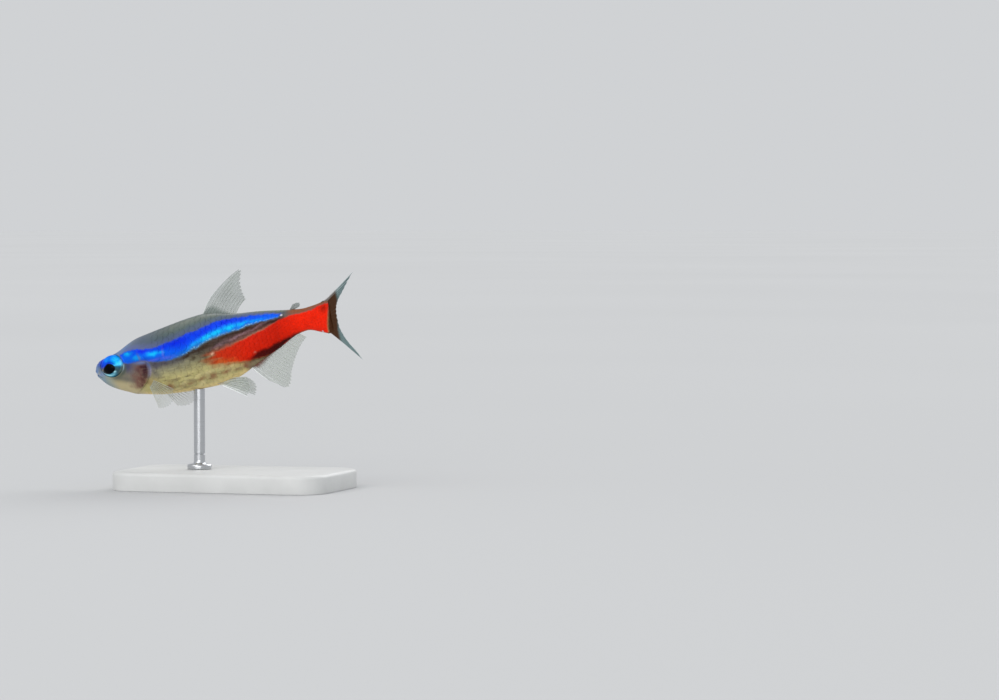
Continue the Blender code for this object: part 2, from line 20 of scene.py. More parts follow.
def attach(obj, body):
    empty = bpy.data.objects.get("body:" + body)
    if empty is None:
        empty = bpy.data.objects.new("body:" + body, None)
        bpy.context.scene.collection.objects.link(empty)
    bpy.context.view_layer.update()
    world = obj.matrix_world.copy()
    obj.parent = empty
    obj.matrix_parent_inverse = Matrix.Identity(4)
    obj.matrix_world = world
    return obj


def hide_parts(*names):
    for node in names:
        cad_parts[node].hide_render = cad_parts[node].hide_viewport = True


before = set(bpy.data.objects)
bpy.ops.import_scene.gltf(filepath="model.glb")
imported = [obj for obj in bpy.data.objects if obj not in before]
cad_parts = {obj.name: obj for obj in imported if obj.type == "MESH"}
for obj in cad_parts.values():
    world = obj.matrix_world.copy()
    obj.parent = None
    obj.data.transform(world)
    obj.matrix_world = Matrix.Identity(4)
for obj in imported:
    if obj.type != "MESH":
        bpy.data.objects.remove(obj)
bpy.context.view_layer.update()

Array = np.ndarray
Table = list[tuple[float, float]]
Tone = tuple[int, int, int]
Triple = tuple[float, float, float]
Socket = bpy.types.NodeSocket
Material = bpy.types.Material
Piece = bpy.types.Object

MM = 0.001
LOG = logging.getLogger("neon_tetra")


# Numbers and curves

def ease(low: float, high: float, value: Array) -> Array:
    """Rise smoothly from 0 to 1 between two limits.

    Args:
        low: the value that gives 0.
        high: the value that gives 1; it may be the lower one.
        value: what is compared.

    Returns:
        The share from 0 to 1.
    """
    share = np.clip((value - low) / (high - low), 0.0, 1.0)
    return share * share * (3.0 - 2.0 * share)


def hump(centre: float, reach: float, value: Array) -> Array:
    """Give a bell of height 1 round a centre.

    Args:
        centre: where the bell is 1.
        reach: how far away it falls to about a third.
        value: what is compared.

    Returns:
        The bell's height.
    """
    return np.exp(-(((value - centre) / reach) ** 2))


def window(start: float, full: float, fading: float, end: float, value: Array) -> Array:
    """Rise smoothly from 0 to 1 and fall back to 0 further on.

    Args:
        start: where it leaves 0.
        full: where it reaches 1.
        fading: where it leaves 1.
        end: where it is back at 0.
        value: what is compared.

    Returns:
        The share from 0 to 1.
    """
    return ease(start, full, value) * ease(end, fading, value)


def unit(vectors: Array) -> Array:
    """Scale vectors to length 1.

    Args:
        vectors: an array whose last axis holds the three parts.

    Returns:
        The unit vectors.
    """
    size = np.linalg.norm(vectors, axis=-1, keepdims=True)
    return vectors / np.maximum(size, 1e-12)


def ripple(x: Array, z: Array, scale: float, seed: int) -> Array:
    """Give a soft, irregular wave between about -1 and 1 over the fish's side.

    Args:
        x: places along the fish, in mm.
        z: heights, in mm.
        scale: the size of its patches, in mm.
        seed: picks one pattern.

    Returns:
        The wave's value at each place.
    """
    picks = np.random.default_rng(seed)
    total = np.zeros(np.broadcast(x, z).shape)
    for _ in range(7):
        turn = picks.uniform(0, pi)
        pace = picks.uniform(0.6, 1.6) * pi / scale
        total += np.sin((x * cos(turn) + z * sin(turn)) * pace + picks.uniform(0, 2 * pi))
    return total / 3.2


class Profile:
    """A smooth curve through a few points that never overshoots them."""

    def __init__(self, points: Table, blunt: bool = False) -> None:
        """Prepare the curve.

        Args:
            points: pairs of place and value, in order.
            blunt: True where the curve starts like the nose of an egg.
        """
        self.blunt = blunt
        self.at = np.array([float(p[0]) for p in points])
        if blunt:
            self.at = np.sqrt(self.at)
        self.value = np.array([float(p[1]) for p in points])
        step = np.diff(self.at)
        rise = np.diff(self.value) / step
        self.slope = np.concatenate([rise[:1], np.zeros(len(rise) - 1), rise[-1:]])
        for i in range(1, len(rise)):
            if rise[i - 1] * rise[i] > 0:
                near = 2 * step[i] + step[i - 1]
                far = step[i] + 2 * step[i - 1]
                self.slope[i] = (near + far) / (near / rise[i - 1] + far / rise[i])

    def __call__(self, at: Array | float) -> Array:
        """Read the curve.

        Args:
            at: one place or many.

        Returns:
            The values there.
        """
        at = np.asarray(at, dtype=float)
        if self.blunt:
            at = np.sqrt(np.maximum(at, 0.0))
        at = np.clip(at, self.at[0], self.at[-1])
        i = np.clip(np.searchsorted(self.at, at) - 1, 0, len(self.at) - 2)
        step = self.at[i + 1] - self.at[i]
        u = (at - self.at[i]) / step
        start = (self.value[i] * (1 + 2 * u) * (1 - u) ** 2
                 + self.slope[i] * step * u * (1 - u) ** 2)
        end = self.value[i + 1] * u * u * (3 - 2 * u) + self.slope[i + 1] * step * u * u * (u - 1)
        return start + end


def curve(points: Table, blunt: bool = False) -> Profile:
    """Give a dataclass its own copy of a curve."""
    return field(default_factory=lambda: Profile(points, blunt))


# The fish's form, shared by every piece

@dataclass
class Form:
    """The fish's body: its profiles, its bend and its place in the world."""

    length: float = 28.0
    bend: float = radians(30.0)
    bend_start: float = 0.55
    pitch: float = radians(12.3)
    snout_height: float = 12.5
    rear_tip: tuple[float, float] = (4.49, -5.25)
    end: float = 1.032
    pace: float = 0.05
    samples: int = 1201
    top: Profile = curve(
        [(0, 0), (.01, .019), (.036, .034), (.10, .047), (.155, .066), (.245, .094), (.33, .1077),
         (.42, .119), (.475, .1225), (.52, .117), (.60, .098), (.705, .0855), (.85, .0625),
         (.90, .0575), (.955, .060), (1, .064), (1.04, .0655)], blunt=True)
    bottom: Profile = curve(
        [(0, 0), (.007, -.030), (.023, -.0535), (.041, -.0708), (.078, -.094), (.116, -.1115),
         (.194, -.1362), (.275, -.1519), (.40, -.1597), (.48, -.1605), (.569, -.1459),
         (.662, -.1082), (.756, -.0727), (.856, -.0345), (.895, -.0305), (.965, -.050),
         (1, -.060), (1.04, -.0615)], blunt=True)
    half_width: Profile = curve(
        [(0, 0), (.005, .019), (.02, .037), (.05, .054), (.09, .066), (.15, .074), (.22, .0785),
         (.30, .080), (.40, .077), (.60, .054), (.80, .0285), (.90, .0195), (1, .0115),
         (1.04, .0035)], blunt=True)
    widest: Profile = curve([(0, .60), (.06, .70), (.25, .58), (.5, .55), (1, .5)])
    crown: Profile = curve([(0, .8), (.05, .55), (.14, .55), (.25, .8), (.6, .9), (1, 1)])
    keel: Profile = curve([(0, 1), (.15, .85), (.6, .9), (1, 1)])
    gill: Profile = curve(
        [(-.20, .05), (-.14, .12), (-.11, .19), (-.08, .230), (-.04, .245), (0, .232),
         (.03, .21), (.06, .19), (.20, .18)])

    def __post_init__(self) -> None:
        """Walk the spine once, in small paces, and keep its points."""
        self.steps = np.arange(0.0, 1.35 * self.length, self.pace)
        turns = self.heading(self.steps[:-1])
        self.spine_x = np.concatenate([[0.0], np.cumsum(np.cos(turns)) * self.pace])
        self.spine_y = np.concatenate([[0.0], np.cumsum(-np.sin(turns)) * self.pace])
        rear = np.interp(self.length + self.rear_tip[0], self.steps, self.spine_x)
        self.reach = rear * cos(self.pitch) - self.rear_tip[1] * sin(self.pitch)

    def heading(self, x: Array) -> Array:
        """Give the turn of the spine at places along it.

        Args:
            x: places along the spine, in mm.

        Returns:
            Angles to the left, in radians.
        """
        along = (np.minimum(x / self.length, 1.0) - self.bend_start) / (1 - self.bend_start)
        return self.bend * np.maximum(along, 0.0) ** 2

    def world(self, points: Array) -> Array:
        """Bend, pitch and place points of the straight fish.

        Args:
            points: places on the straight fish, in mm.

        Returns:
            Places in the part's own frame, in metres.
        """
        x, y, z = points[..., 0], points[..., 1], points[..., 2]
        turn = self.heading(x)
        bent_x = np.interp(x, self.steps, self.spine_x) + np.minimum(x, 0.0) + y * np.sin(turn)
        bent_y = np.interp(x, self.steps, self.spine_y) + y * np.cos(turn)
        lean = self.pitch
        return np.stack([bent_x * cos(lean) - z * sin(lean) - self.reach / 2, bent_y,
                         bent_x * sin(lean) + z * cos(lean) + self.snout_height], axis=-1) * MM

    def half_sections(self, stations: Array, steps: int) -> tuple[Array, Array]:
        """Trace half a section, from the belly up to the back, in even steps along its outline.

        Args:
            stations: one section for each.
            steps: how many steps a half section has.

        Returns:
            Half widths and heights, in mm, of shape (stations, steps + 1).
        """
        fine = np.linspace(0.0, 1.0, self.samples)
        angle = -pi / 2 + pi * (0.5 - 0.5 * np.cos(pi * fine))
        column = stations[:, None]
        top = self.top(column) * self.length
        bottom = self.bottom(column) * self.length
        middle = bottom + self.widest(column) * (top - bottom)
        upper = np.sin(angle)[None, :] > 0
        reach = np.where(upper, top - middle, middle - bottom)
        height = middle + reach * np.sin(angle)[None, :]
        fullness = np.where(upper, self.crown(column), self.keel(column))
        side = np.abs(np.cos(angle))[None, :] ** fullness
        side = side * self.half_width(column) * self.length
        side[:, 0] = 0.0
        side[:, -1] = 0.0
        arc = np.hypot(np.diff(side, axis=1), np.diff(height, axis=1))
        arc = np.concatenate([np.zeros((len(stations), 1)), np.cumsum(arc, axis=1)], axis=1)
        even = np.linspace(0.0, 1.0, steps + 1)
        sides = np.empty((len(stations), steps + 1))
        heights = np.empty_like(sides)
        for i, run in enumerate(arc):
            share = run / max(run[-1], 1e-12)
            sides[i] = np.interp(even, share, side[i])
            heights[i] = np.interp(even, share, height[i])
        return sides, heights


FISH = Form()


@dataclass
class EyeSocket:
    """Where an eye sits and which way it looks, on the straight fish."""

    side: int
    centre: Triple = (.0915 * FISH.length, 1.31, -.03)
    turn: float = radians(8.0)
    stretch: float = 1.24

    def axes(self) -> tuple[Array, Array, Array]:
        """Give the eye's own directions.

        Returns:
            Unit vectors to the rear, up and out of the head.
        """
        rear = np.array([cos(self.turn), self.side * sin(self.turn), 0.0])
        out = np.array([-sin(self.turn), self.side * cos(self.turn), 0.0])
        return rear, np.array([0.0, 0.0, 1.0]), out

    def middle(self) -> Array:
        """Give the eyeball's centre."""
        return np.array([self.centre[0], self.side * self.centre[1], self.centre[2]])

    def local(self, points: Array) -> tuple[Array, Array, Array]:
        """Measure points from the eye's centre.

        Args:
            points: places on the straight fish, in mm.

        Returns:
            Distances to the rear, up and outwards, in mm, with the rear one eased so that
            the eye's long oval reads as a circle.
        """
        away = points - self.middle()
        rear, up, out = self.axes()
        return away @ rear / self.stretch, away @ up, away @ out


# Meshes

@dataclass
class Shape:
    """A mesh gathered from several pieces, with numbers kept at its points."""

    name: str
    points: list[Array] = field(default_factory=list)
    faces: list[Array] = field(default_factory=list)
    numbers: dict[str, list[Array]] = field(default_factory=dict)
    unwraps: list[Array] = field(default_factory=list)
    count: int = 0

    def add(self, points: Array, faces: Array, unwrap: Array | None = None,
            **numbers: Array | float) -> None:
        """Add one piece.

        Args:
            points: its points in metres, of shape (n, 3).
            faces: its faces, of shape (m, 4), or (m, 3).
            unwrap: a place on the unwrap for each point, if it has one.
            numbers: a named number for each point, or one for all.
        """
        self.points.append(points.reshape(-1, 3))
        self.faces.append(faces + self.count)
        size = len(self.points[-1])
        for key, value in numbers.items():
            row = np.broadcast_to(np.asarray(value, dtype=float).reshape(-1), (size,))
            self.numbers.setdefault(key, []).append(row)
        if unwrap is not None:
            self.unwraps.append(unwrap)
        self.count += size

    def lay(self, places: Array, faces: Array, **numbers: Array | float) -> None:
        """Add one piece from the straight fish, and keep its places there for its material.

        Args:
            places: its points on the straight fish, in mm.
            faces: its faces.
            numbers: a named number for each point, or one for all.
        """
        places = places.reshape(-1, 3)
        kept = {"lie_" + axis: places[:, i] for i, axis in enumerate("xyz")}
        self.add(FISH.world(places), faces, **kept, **numbers)

    def build(self, material: Material) -> Piece:
        """Make the object.

        Args:
            material: its material.

        Returns:
            The object, linked and smooth.
        """
        mesh = bpy.data.meshes.new(self.name)
        faces = [tuple(row) for group in self.faces for row in group.tolist()]
        mesh.from_pydata(np.concatenate(self.points).tolist(), [], faces)
        for key, rows in self.numbers.items():
            layer = mesh.attributes.new(key, "FLOAT", "POINT")
            layer.data.foreach_set("value", np.concatenate(rows).astype(np.float32))
        if self.unwraps:
            layer = mesh.uv_layers.new(name="OFBake")
            spots = np.concatenate(self.unwraps)
            corners = np.empty(len(mesh.loops), dtype=np.int32)
            mesh.loops.foreach_get("vertex_index", corners)
            layer.data.foreach_set("uv", spots[corners].astype(np.float32).ravel())
        mesh.validate()
        mesh.shade_smooth()
        mesh.materials.append(material)
        obj = bpy.data.objects.new(self.name, mesh)
        bpy.context.scene.collection.objects.link(obj)
        return obj


def grid_faces(rows: int, columns: int, ring: bool = False) -> Array:
    """Join a grid of points with quads.

    Args:
        rows: rows of points.
        columns: points in a row.
        ring: True where the last point of a row joins its first.

    Returns:
        Faces of shape (n, 4).
    """
    across = columns if ring else columns - 1
    i, j = np.meshgrid(np.arange(rows - 1), np.arange(across), indexing="ij")
    k = (j + 1) % columns
    return np.stack([i * columns + j, i * columns + k, (i + 1) * columns + k,
                     (i + 1) * columns + j], axis=-1).reshape(-1, 4)


def sheet_faces(rows: int, columns: int) -> Array:
    """Join two grids of points, one over the other, into a thin closed sheet.

    Args:
        rows: rows of points in each grid.
        columns: points in a row.

    Returns:
        Faces of shape (n, 4), where the lower grid's points follow the upper one's.
    """
    faces = grid_faces(rows, columns)
    count = rows * columns
    border = np.concatenate([
        np.arange(columns), np.arange(1, rows) * columns + columns - 1,
        (rows - 1) * columns + np.arange(columns - 2, -1, -1),
        np.arange(rows - 2, 0, -1) * columns])
    after = np.roll(border, -1)
    return np.concatenate([faces[:, ::-1], faces + count,
                           np.stack([border, after, after + count, border + count], axis=-1)])


def grid_normals(points: Array) -> Array:
    """Give the normals of a closed ring grid.

    Args:
        points: a grid of shape (rows, columns, 3), closed along its columns.

    Returns:
        Unit normals of the same shape.
    """
    along = np.gradient(points, axis=0)
    across = np.roll(points, -1, axis=1) - np.roll(points, 1, axis=1)
    return unit(np.cross(across, along))


def circle(sides: int) -> Array:
    """Give the angles of the points round a ring."""
    return np.linspace(0, 2 * pi, sides, endpoint=False)


def tube(points: Array, radii: Array, sides: int, flat: Array) -> tuple[Array, Array]:
    """Run a round bar along a path, closed to a point at both ends.

    Args:
        points: the path on the straight fish, in mm.
        radii: the bar's radius at each point, in mm.
        sides: how many sides it has.
        flat: a direction that the path never runs along.

    Returns:
        The bar's points on the straight fish, and its faces.
    """
    way = unit(np.gradient(points, axis=0))
    right = unit(np.cross(way, flat))
    up = unit(np.cross(right, way))
    angle = circle(sides)
    ring = (right[:, None, :] * np.cos(angle)[None, :, None]
            + up[:, None, :] * np.sin(angle)[None, :, None])
    sized = radii.copy()
    sized[0] = sized[-1] = 0.001
    return points[:, None, :] + ring * sized[:, None, None], grid_faces(len(points), sides, True)


# Materials

class Paint(Enum):
    """The skin's colours as they look in even light, and some painted light and shade."""

    # The belly's own cream, made brighter as painted light where the underside gets little light.
    BELLY_LOW = (242, 214, 148)
    BELLY = (184, 174, 118)
    FLANK = (154, 150, 118)
    FLANK_GREY = (104, 104, 100)
    BACK_LOW = (74, 92, 100)
    BACK = (94, 108, 104)
    BACK_HIGH = (126, 132, 124)
    RIDGE = (106, 116, 112)
    SNOUT = (124, 148, 192)
    SNOUT_LOW = (136, 156, 162)
    BROW = (104, 128, 170)
    SNOUT_TIP = (62, 104, 146)
    NAPE = (108, 118, 142)
    TEMPLE = (60, 66, 108)
    CROWN = (96, 104, 94)
    CHEEK = (106, 96, 98)
    SOCKET = (78, 86, 78)
    BEFORE_EYE = (112, 126, 138)
    LORE_BLUE = (56, 88, 160)
    UNDER_EYE = (106, 104, 96)
    EYE_CORNER = (0, 62, 214)
    PALE_RIM = (150, 176, 182)
    THROAT = (192, 178, 140)
    GILL_DARK = (40, 2, 26)
    GILL = (112, 74, 68)
    GILL_RIM = (158, 150, 178)
    GILL_RIM_HIGH = (104, 124, 176)
    FIBRE_PALE = (208, 194, 142)
    FIBRE_DARK = (118, 104, 78)
    # Painted highlights: pale cream streaks of light on the belly.
    CREAM = (216, 200, 148)
    SHADE_FRONT = (76, 72, 88)
    SHADE_MIDDLE = (54, 38, 26)
    SHADE_REAR = (48, 26, 22)
    MAUVE_FRONT = (66, 52, 40)
    MAUVE = (66, 54, 54)
    MAUVE_REAR = (90, 50, 46)
    MAUVE_STREAK = (150, 112, 112)
    LAVENDER = (156, 120, 130)
    RED_EDGE = (150, 70, 30)
    RED_FRONT = (198, 48, 16)
    RED = (222, 34, 5)
    RED_DEEP = (204, 28, 3)
    RED_BRIGHT = (252, 38, 6)
    RED_GRAIN = (150, 14, 2)
    DUSK = (138, 20, 2)
    # Painted shade: dark reds for the band along the red's lower edge, where the tail stem curves
    # under.
    MAROON = (72, 6, 3)
    MAROON_REAR = (42, 1, 2)
    SHEATH = (130, 116, 92)
    SHEATH_DARK = (76, 44, 18)
    APRICOT = (206, 104, 44)
    RUST = (150, 84, 48)
    MOTTLE = (134, 90, 66)
    SPARK = (226, 184, 156)
    TAIL_BROWN = (60, 22, 4)
    STRIPE_RIM = (14, 56, 206)
    STRIPE_TOP = (0, 38, 224)
    STRIPE_MIDDLE = (0, 54, 230)
    STRIPE = (0, 84, 238)
    STRIPE_EDGE = (24, 112, 206)
    STRIPE_LOW = (66, 126, 168)
    STRIPE_GLOW = (6, 198, 246)
    STRIPE_WAVE = (0, 110, 246)
    STRIPE_REAR = (4, 108, 240)
    STRIPE_VIOLET = (112, 108, 226)
    STRIPE_DOTS = (150, 206, 226)
    FRONT_RIM = (22, 62, 204)
    FRONT_MIDDLE = (0, 92, 236)
    FRONT_EDGE = (14, 84, 214)
    FRONT_LOW = (40, 88, 186)
    HALO = (98, 106, 160)
    # Painted highlight: a pale line along the back's ridge.
    RIDGE_LIGHT = (196, 200, 200)
    # Painted glint: the white of two small reflections on the scales.
    FLECK = (214, 208, 216)
    # Painted shade: the next two colours darken the mouth's slit and the crease along the gill
    # cover's edge.
    MOUTH = (66, 48, 46)
    GROOVE = (74, 58, 66)
    FRECKLE = (62, 66, 58)
    SCALE_EDGE = (70, 66, 60)


def light(value: object) -> object:
    """Turn a colour as seen on a screen into light, and leave anything else as it is.

    Args:
        value: a paint or three whole numbers up to 255, or else a socket, a number or light.

    Returns:
        What a socket takes.
    """
    if isinstance(value, Paint):
        value = value.value
    if not (isinstance(value, tuple) and isinstance(value[0], int)):
        return value
    seen = np.array(value) / 255.0
    linear = np.where(seen <= 0.04045, seen / 12.92, ((seen + 0.055) / 1.055) ** 2.4)
    return tuple(float(v) for v in linear)


class Nodes:
    """A short way to lay out a material's nodes."""

    def __init__(self, name: str) -> None:
        """Start a material with a Principled shader.

        Args:
            name: the material's name.
        """
        self.material = bpy.data.materials.new(name)
        self.material.use_nodes = True
        self.tree = self.material.node_tree
        self.shader = self.tree.nodes["Principled BSDF"]

    def new(self, kind: str, **settings: object) -> bpy.types.Node:
        """Add a node.

        Args:
            kind: its type.
            settings: its plain properties.

        Returns:
            The node.
        """
        node = self.tree.nodes.new(kind)
        for key, value in settings.items():
            setattr(node, key, value)
        return node

    def put(self, socket: Socket, value: object) -> None:
        """Link a socket to an output, or set its number or colour.

        Args:
            socket: the socket.
            value: an output, a number, a vector or a colour.
        """
        value = light(value)
        if isinstance(value, Socket):
            self.tree.links.new(value, socket)
        elif socket.type == "RGBA":
            socket.default_value = (*value, 1.0)
        else:
            socket.default_value = value

    def fill(self, node: bpy.types.Node, **inputs: object) -> Socket:
        """Set a node's sockets.

        Args:
            node: the node.
            inputs: what each takes, with underscores for the spaces in its name.

        Returns:
            The node's first output.
        """
        for key, value in inputs.items():
            self.put(node.inputs[key.replace("_", " ")], value)
        return node.outputs[0]

    def number(self, name: str) -> Socket:
        """Read a number kept at the mesh's points."""
        return self.new("ShaderNodeAttribute", attribute_name=name).outputs["Fac"]

    def place(self) -> Socket:
        """Read the place on the straight fish, in mm, kept at the mesh's points."""
        return self.fill(self.new("ShaderNodeCombineXYZ"),
                         **{axis.upper(): self.number("lie_" + axis) for axis in "xyz"})

    def own_place(self) -> Socket:
        """Read the place on the object itself, in metres."""
        return self.new("ShaderNodeTexCoord").outputs["Object"]

    def math(self, kind: str, a: object, b: object, clamp: bool = False) -> Socket:
        """Work out one number from two.

        Args:
            kind: what is worked out.
            a: the first number.
            b: the second number.
            clamp: True to keep the result from 0 to 1.

        Returns:
            The result.
        """
        node = self.new("ShaderNodeMath", operation=kind, use_clamp=clamp)
        self.put(node.inputs[0], a)
        self.put(node.inputs[1], b)
        return node.outputs[0]

    def times(self, a: object, b: object) -> Socket:
        """Multiply two numbers."""
        return self.math("MULTIPLY", a, b)

    def scaled(self, value: object, span: float, base: float) -> Socket:
        """Multiply a number by its span and add a base."""
        return self.math("ADD", self.times(value, span), base)

    def ramp(self, fac: object, stops: Sequence[tuple[float, object]]) -> Socket:
        """Turn a number into a colour through a few stops.

        Args:
            fac: the number.
            stops: each one's place and its colour, or one number for a grey.

        Returns:
            The colour.
        """
        node = self.new("ShaderNodeValToRGB")
        while len(node.color_ramp.elements) < len(stops):
            node.color_ramp.elements.new(0.5)
        for element, (at, tone) in zip(node.color_ramp.elements, stops):
            element.position = at
            value = light(tone)
            element.color = (*(value if isinstance(value, tuple) else (value,) * 3), 1.0)
        return self.fill(node, Fac=fac)

    def mix(self, fac: object, a: object, b: object, kind: str = "MIX") -> Socket:
        """Mix two colours.

        Args:
            fac: the second one's share.
            a: the first colour.
            b: the second colour.
            kind: how they mix.

        Returns:
            The mixed colour.
        """
        node = self.new("ShaderNodeMix", data_type="RGBA", blend_type=kind)
        self.fill(node, Factor=fac, A=a, B=b)
        return next(o for o in node.outputs if o.type == "RGBA")

    def noise(self, scale: float, detail: float, vector: object = None) -> Socket:
        """Add a soft cloud of numbers."""
        return self.fill(self.new("ShaderNodeTexNoise"), Scale=scale, Detail=detail,
                         Vector=vector or self.place())

    def cells(self, scale: float) -> Socket:
        """Add a pattern of cells, as the distance to the nearest one's middle."""
        return self.fill(self.new("ShaderNodeTexVoronoi"), Scale=scale, Vector=self.place())

    def stretched(self, place: object, *sizes: float) -> Socket:
        """Stretch a place along its axes."""
        return self.fill(self.new("ShaderNodeMapping"), Vector=place, Scale=Vector(sizes))

    def bump(self, height: object, strength: float, depth: float, **below: object) -> Socket:
        """Give a normal that follows small heights, over another Normal if there is one."""
        return self.fill(self.new("ShaderNodeBump"), Strength=strength, Distance=depth,
                         Height=height, **below)

    def finish(self, **inputs: object) -> Material:
        """Set the shader's sockets, and give the material."""
        self.fill(self.shader, **inputs)
        return self.material


@dataclass(frozen=True)
class Patch:
    """A soft spot on the flank: its place, its half sizes in mm and its strength."""

    x: float
    z: float
    long: float
    tall: float
    strength: float = 1.0
    lean: float = 0.0

    def at(self, x: Array, z: Array) -> Array:
        """Give the spot's strength at places on the flank.

        Args:
            x: places along the fish, in mm.
            z: heights, in mm.

        Returns:
            The strength at each place.
        """
        along = (x - self.x) * cos(self.lean) + (z - self.z) * sin(self.lean)
        across = (z - self.z) * cos(self.lean) - (x - self.x) * sin(self.lean)
        return self.strength * np.exp(-(along / self.long) ** 2 - (across / self.tall) ** 2)


def spread(patches: list[Patch], x: Array, z: Array) -> Array:
    """Lay several soft spots together.

    Args:
        patches: the spots.
        x: places along the fish, in mm.
        z: heights, in mm.

    Returns:
        The strongest spot's strength at each place.
    """
    total = np.zeros(np.broadcast(x, z).shape)
    for patch in patches:
        total = np.maximum(total, patch.at(x, z))
    return total


SPOTS: dict[str, list[Patch]] = {name: [Patch(*row) for row in rows] for name, rows in {
    "brown": [
        (11.45, -.62, .75, .30, .95, .3), (12.0, -1.12, .50, .36, 1.0, .1),
        (13.0, -.60, .80, .40, .85, .3), (13.7, -.25, .80, .26, .95, .3),
        (13.3, -1.30, .30, .42, .85), (12.55, -1.50, .45, .25, .65, .2),
        (13.15, -1.85, .30, .20, .6, .2), (14.5, -.35, .60, .26, .8, .25),
        (12.7, -.95, 1.5, .85, .60, .2), (11.5, -1.75, .7, .32, .35, .1),
        (12.3, -2.35, .55, .30, .25, .1), (10.35, -1.75, .75, .30, .30),
        (16.6, -3.30, .80, .25, .35, .2)],
    "violet": [
        (7.75, -1.05, .75, .50, .9), (8.7, -.95, .65, .35, .7), (7.35, -1.60, .28, .45, .75),
        (10.1, -1.15, .8, .3, .35, .1), (7.50, -2.00, .50, .50, .75)],
    "mottle": [
        (8.63, -3.55, .46, .32, 1.0), (9.9, -3.72, .55, .16, .5, .1),
        (10.95, -3.70, .55, .20, .75, .2), (12.35, -3.45, .60, .22, .8, .25),
        (13.5, -3.40, .48, .32, 1.0, .3), (15.05, -3.22, .60, .22, 1.0, .2),
        (16.2, -3.25, .45, .14, .7, .2), (17.25, -3.10, .32, .16, .9, .2),
        (7.3, -3.3, .5, .3, .35), (6.6, -2.60, .80, .40, .40, -.3),
        (17.30, -3.12, .30, .25, 1.0)],
    # painted highlights on the belly
    "cream": [
        (12.1, -3.95, .60, .16, .9, .25), (11.9, -3.05, .65, .13, .8, .3),
        (13.5, -3.95, .55, .15, .8, .25), (15.75, -2.85, .65, .17, .9, .3),
        (10.3, -3.45, .55, .14, .6, .25), (14.8, -2.65, .50, .13, .7, .3),
        (9.9, -2.6, .60, .12, .5, .2), (16.8, -3.05, .45, .11, .8, .2),
        (13.2, -2.95, .55, .12, .7, .3), (9.3, -3.95, .60, .13, .6, .15)],
    "spark": [
        (14.12, -1.06, .24, .12, .9, .2), (18.7, -1.93, .16, .07, .35, .2),
        (14.75, -.62, .25, .08, .4, .3)],
    "lavender": [
        (8.78, .05, .12, .60, .8, -.1), (7.6, -.40, .9, .14, .7), (9.3, -.45, .8, .13, .6),
        (14.9, -.35, .8, .12, .7, .25), (17.3, .16, 1.3, .12, .9, .28),
        (16.2, -.55, .9, .11, .6, .28), (19.4, .68, 1.3, .10, .7, .24)],
    "glow": [
        (4.75, .80, .50, .22, .8), (7.65, .28, .60, .24, .9), (5.75, .20, .45, .24, .5),
        (8.6, .22, .45, .16, .6), (12.6, .38, .9, .20, .5, .3), (13.95, .82, .95, .26, 1.0, .3),
        (15.0, 1.06, .85, .27, 1.0, .25), (16.45, 1.30, .80, .25, 1.0, .15),
        (17.8, 1.42, .90, .20, .8, .08), (19.3, 1.42, .9, .15, .4)],
    "gill_dark": [
        (6.45, -1.10, .50, .55, 1.2, -.1), (6.45, -1.65, .50, .55, 1.1),
        (6.25, -.88, .42, .24, 1.0), (6.05, -2.25, .42, .45, .70, -.5),
        (5.55, -2.75, .40, .24, .45), (5.70, -1.15, .35, .40, .45)],
}.items()}


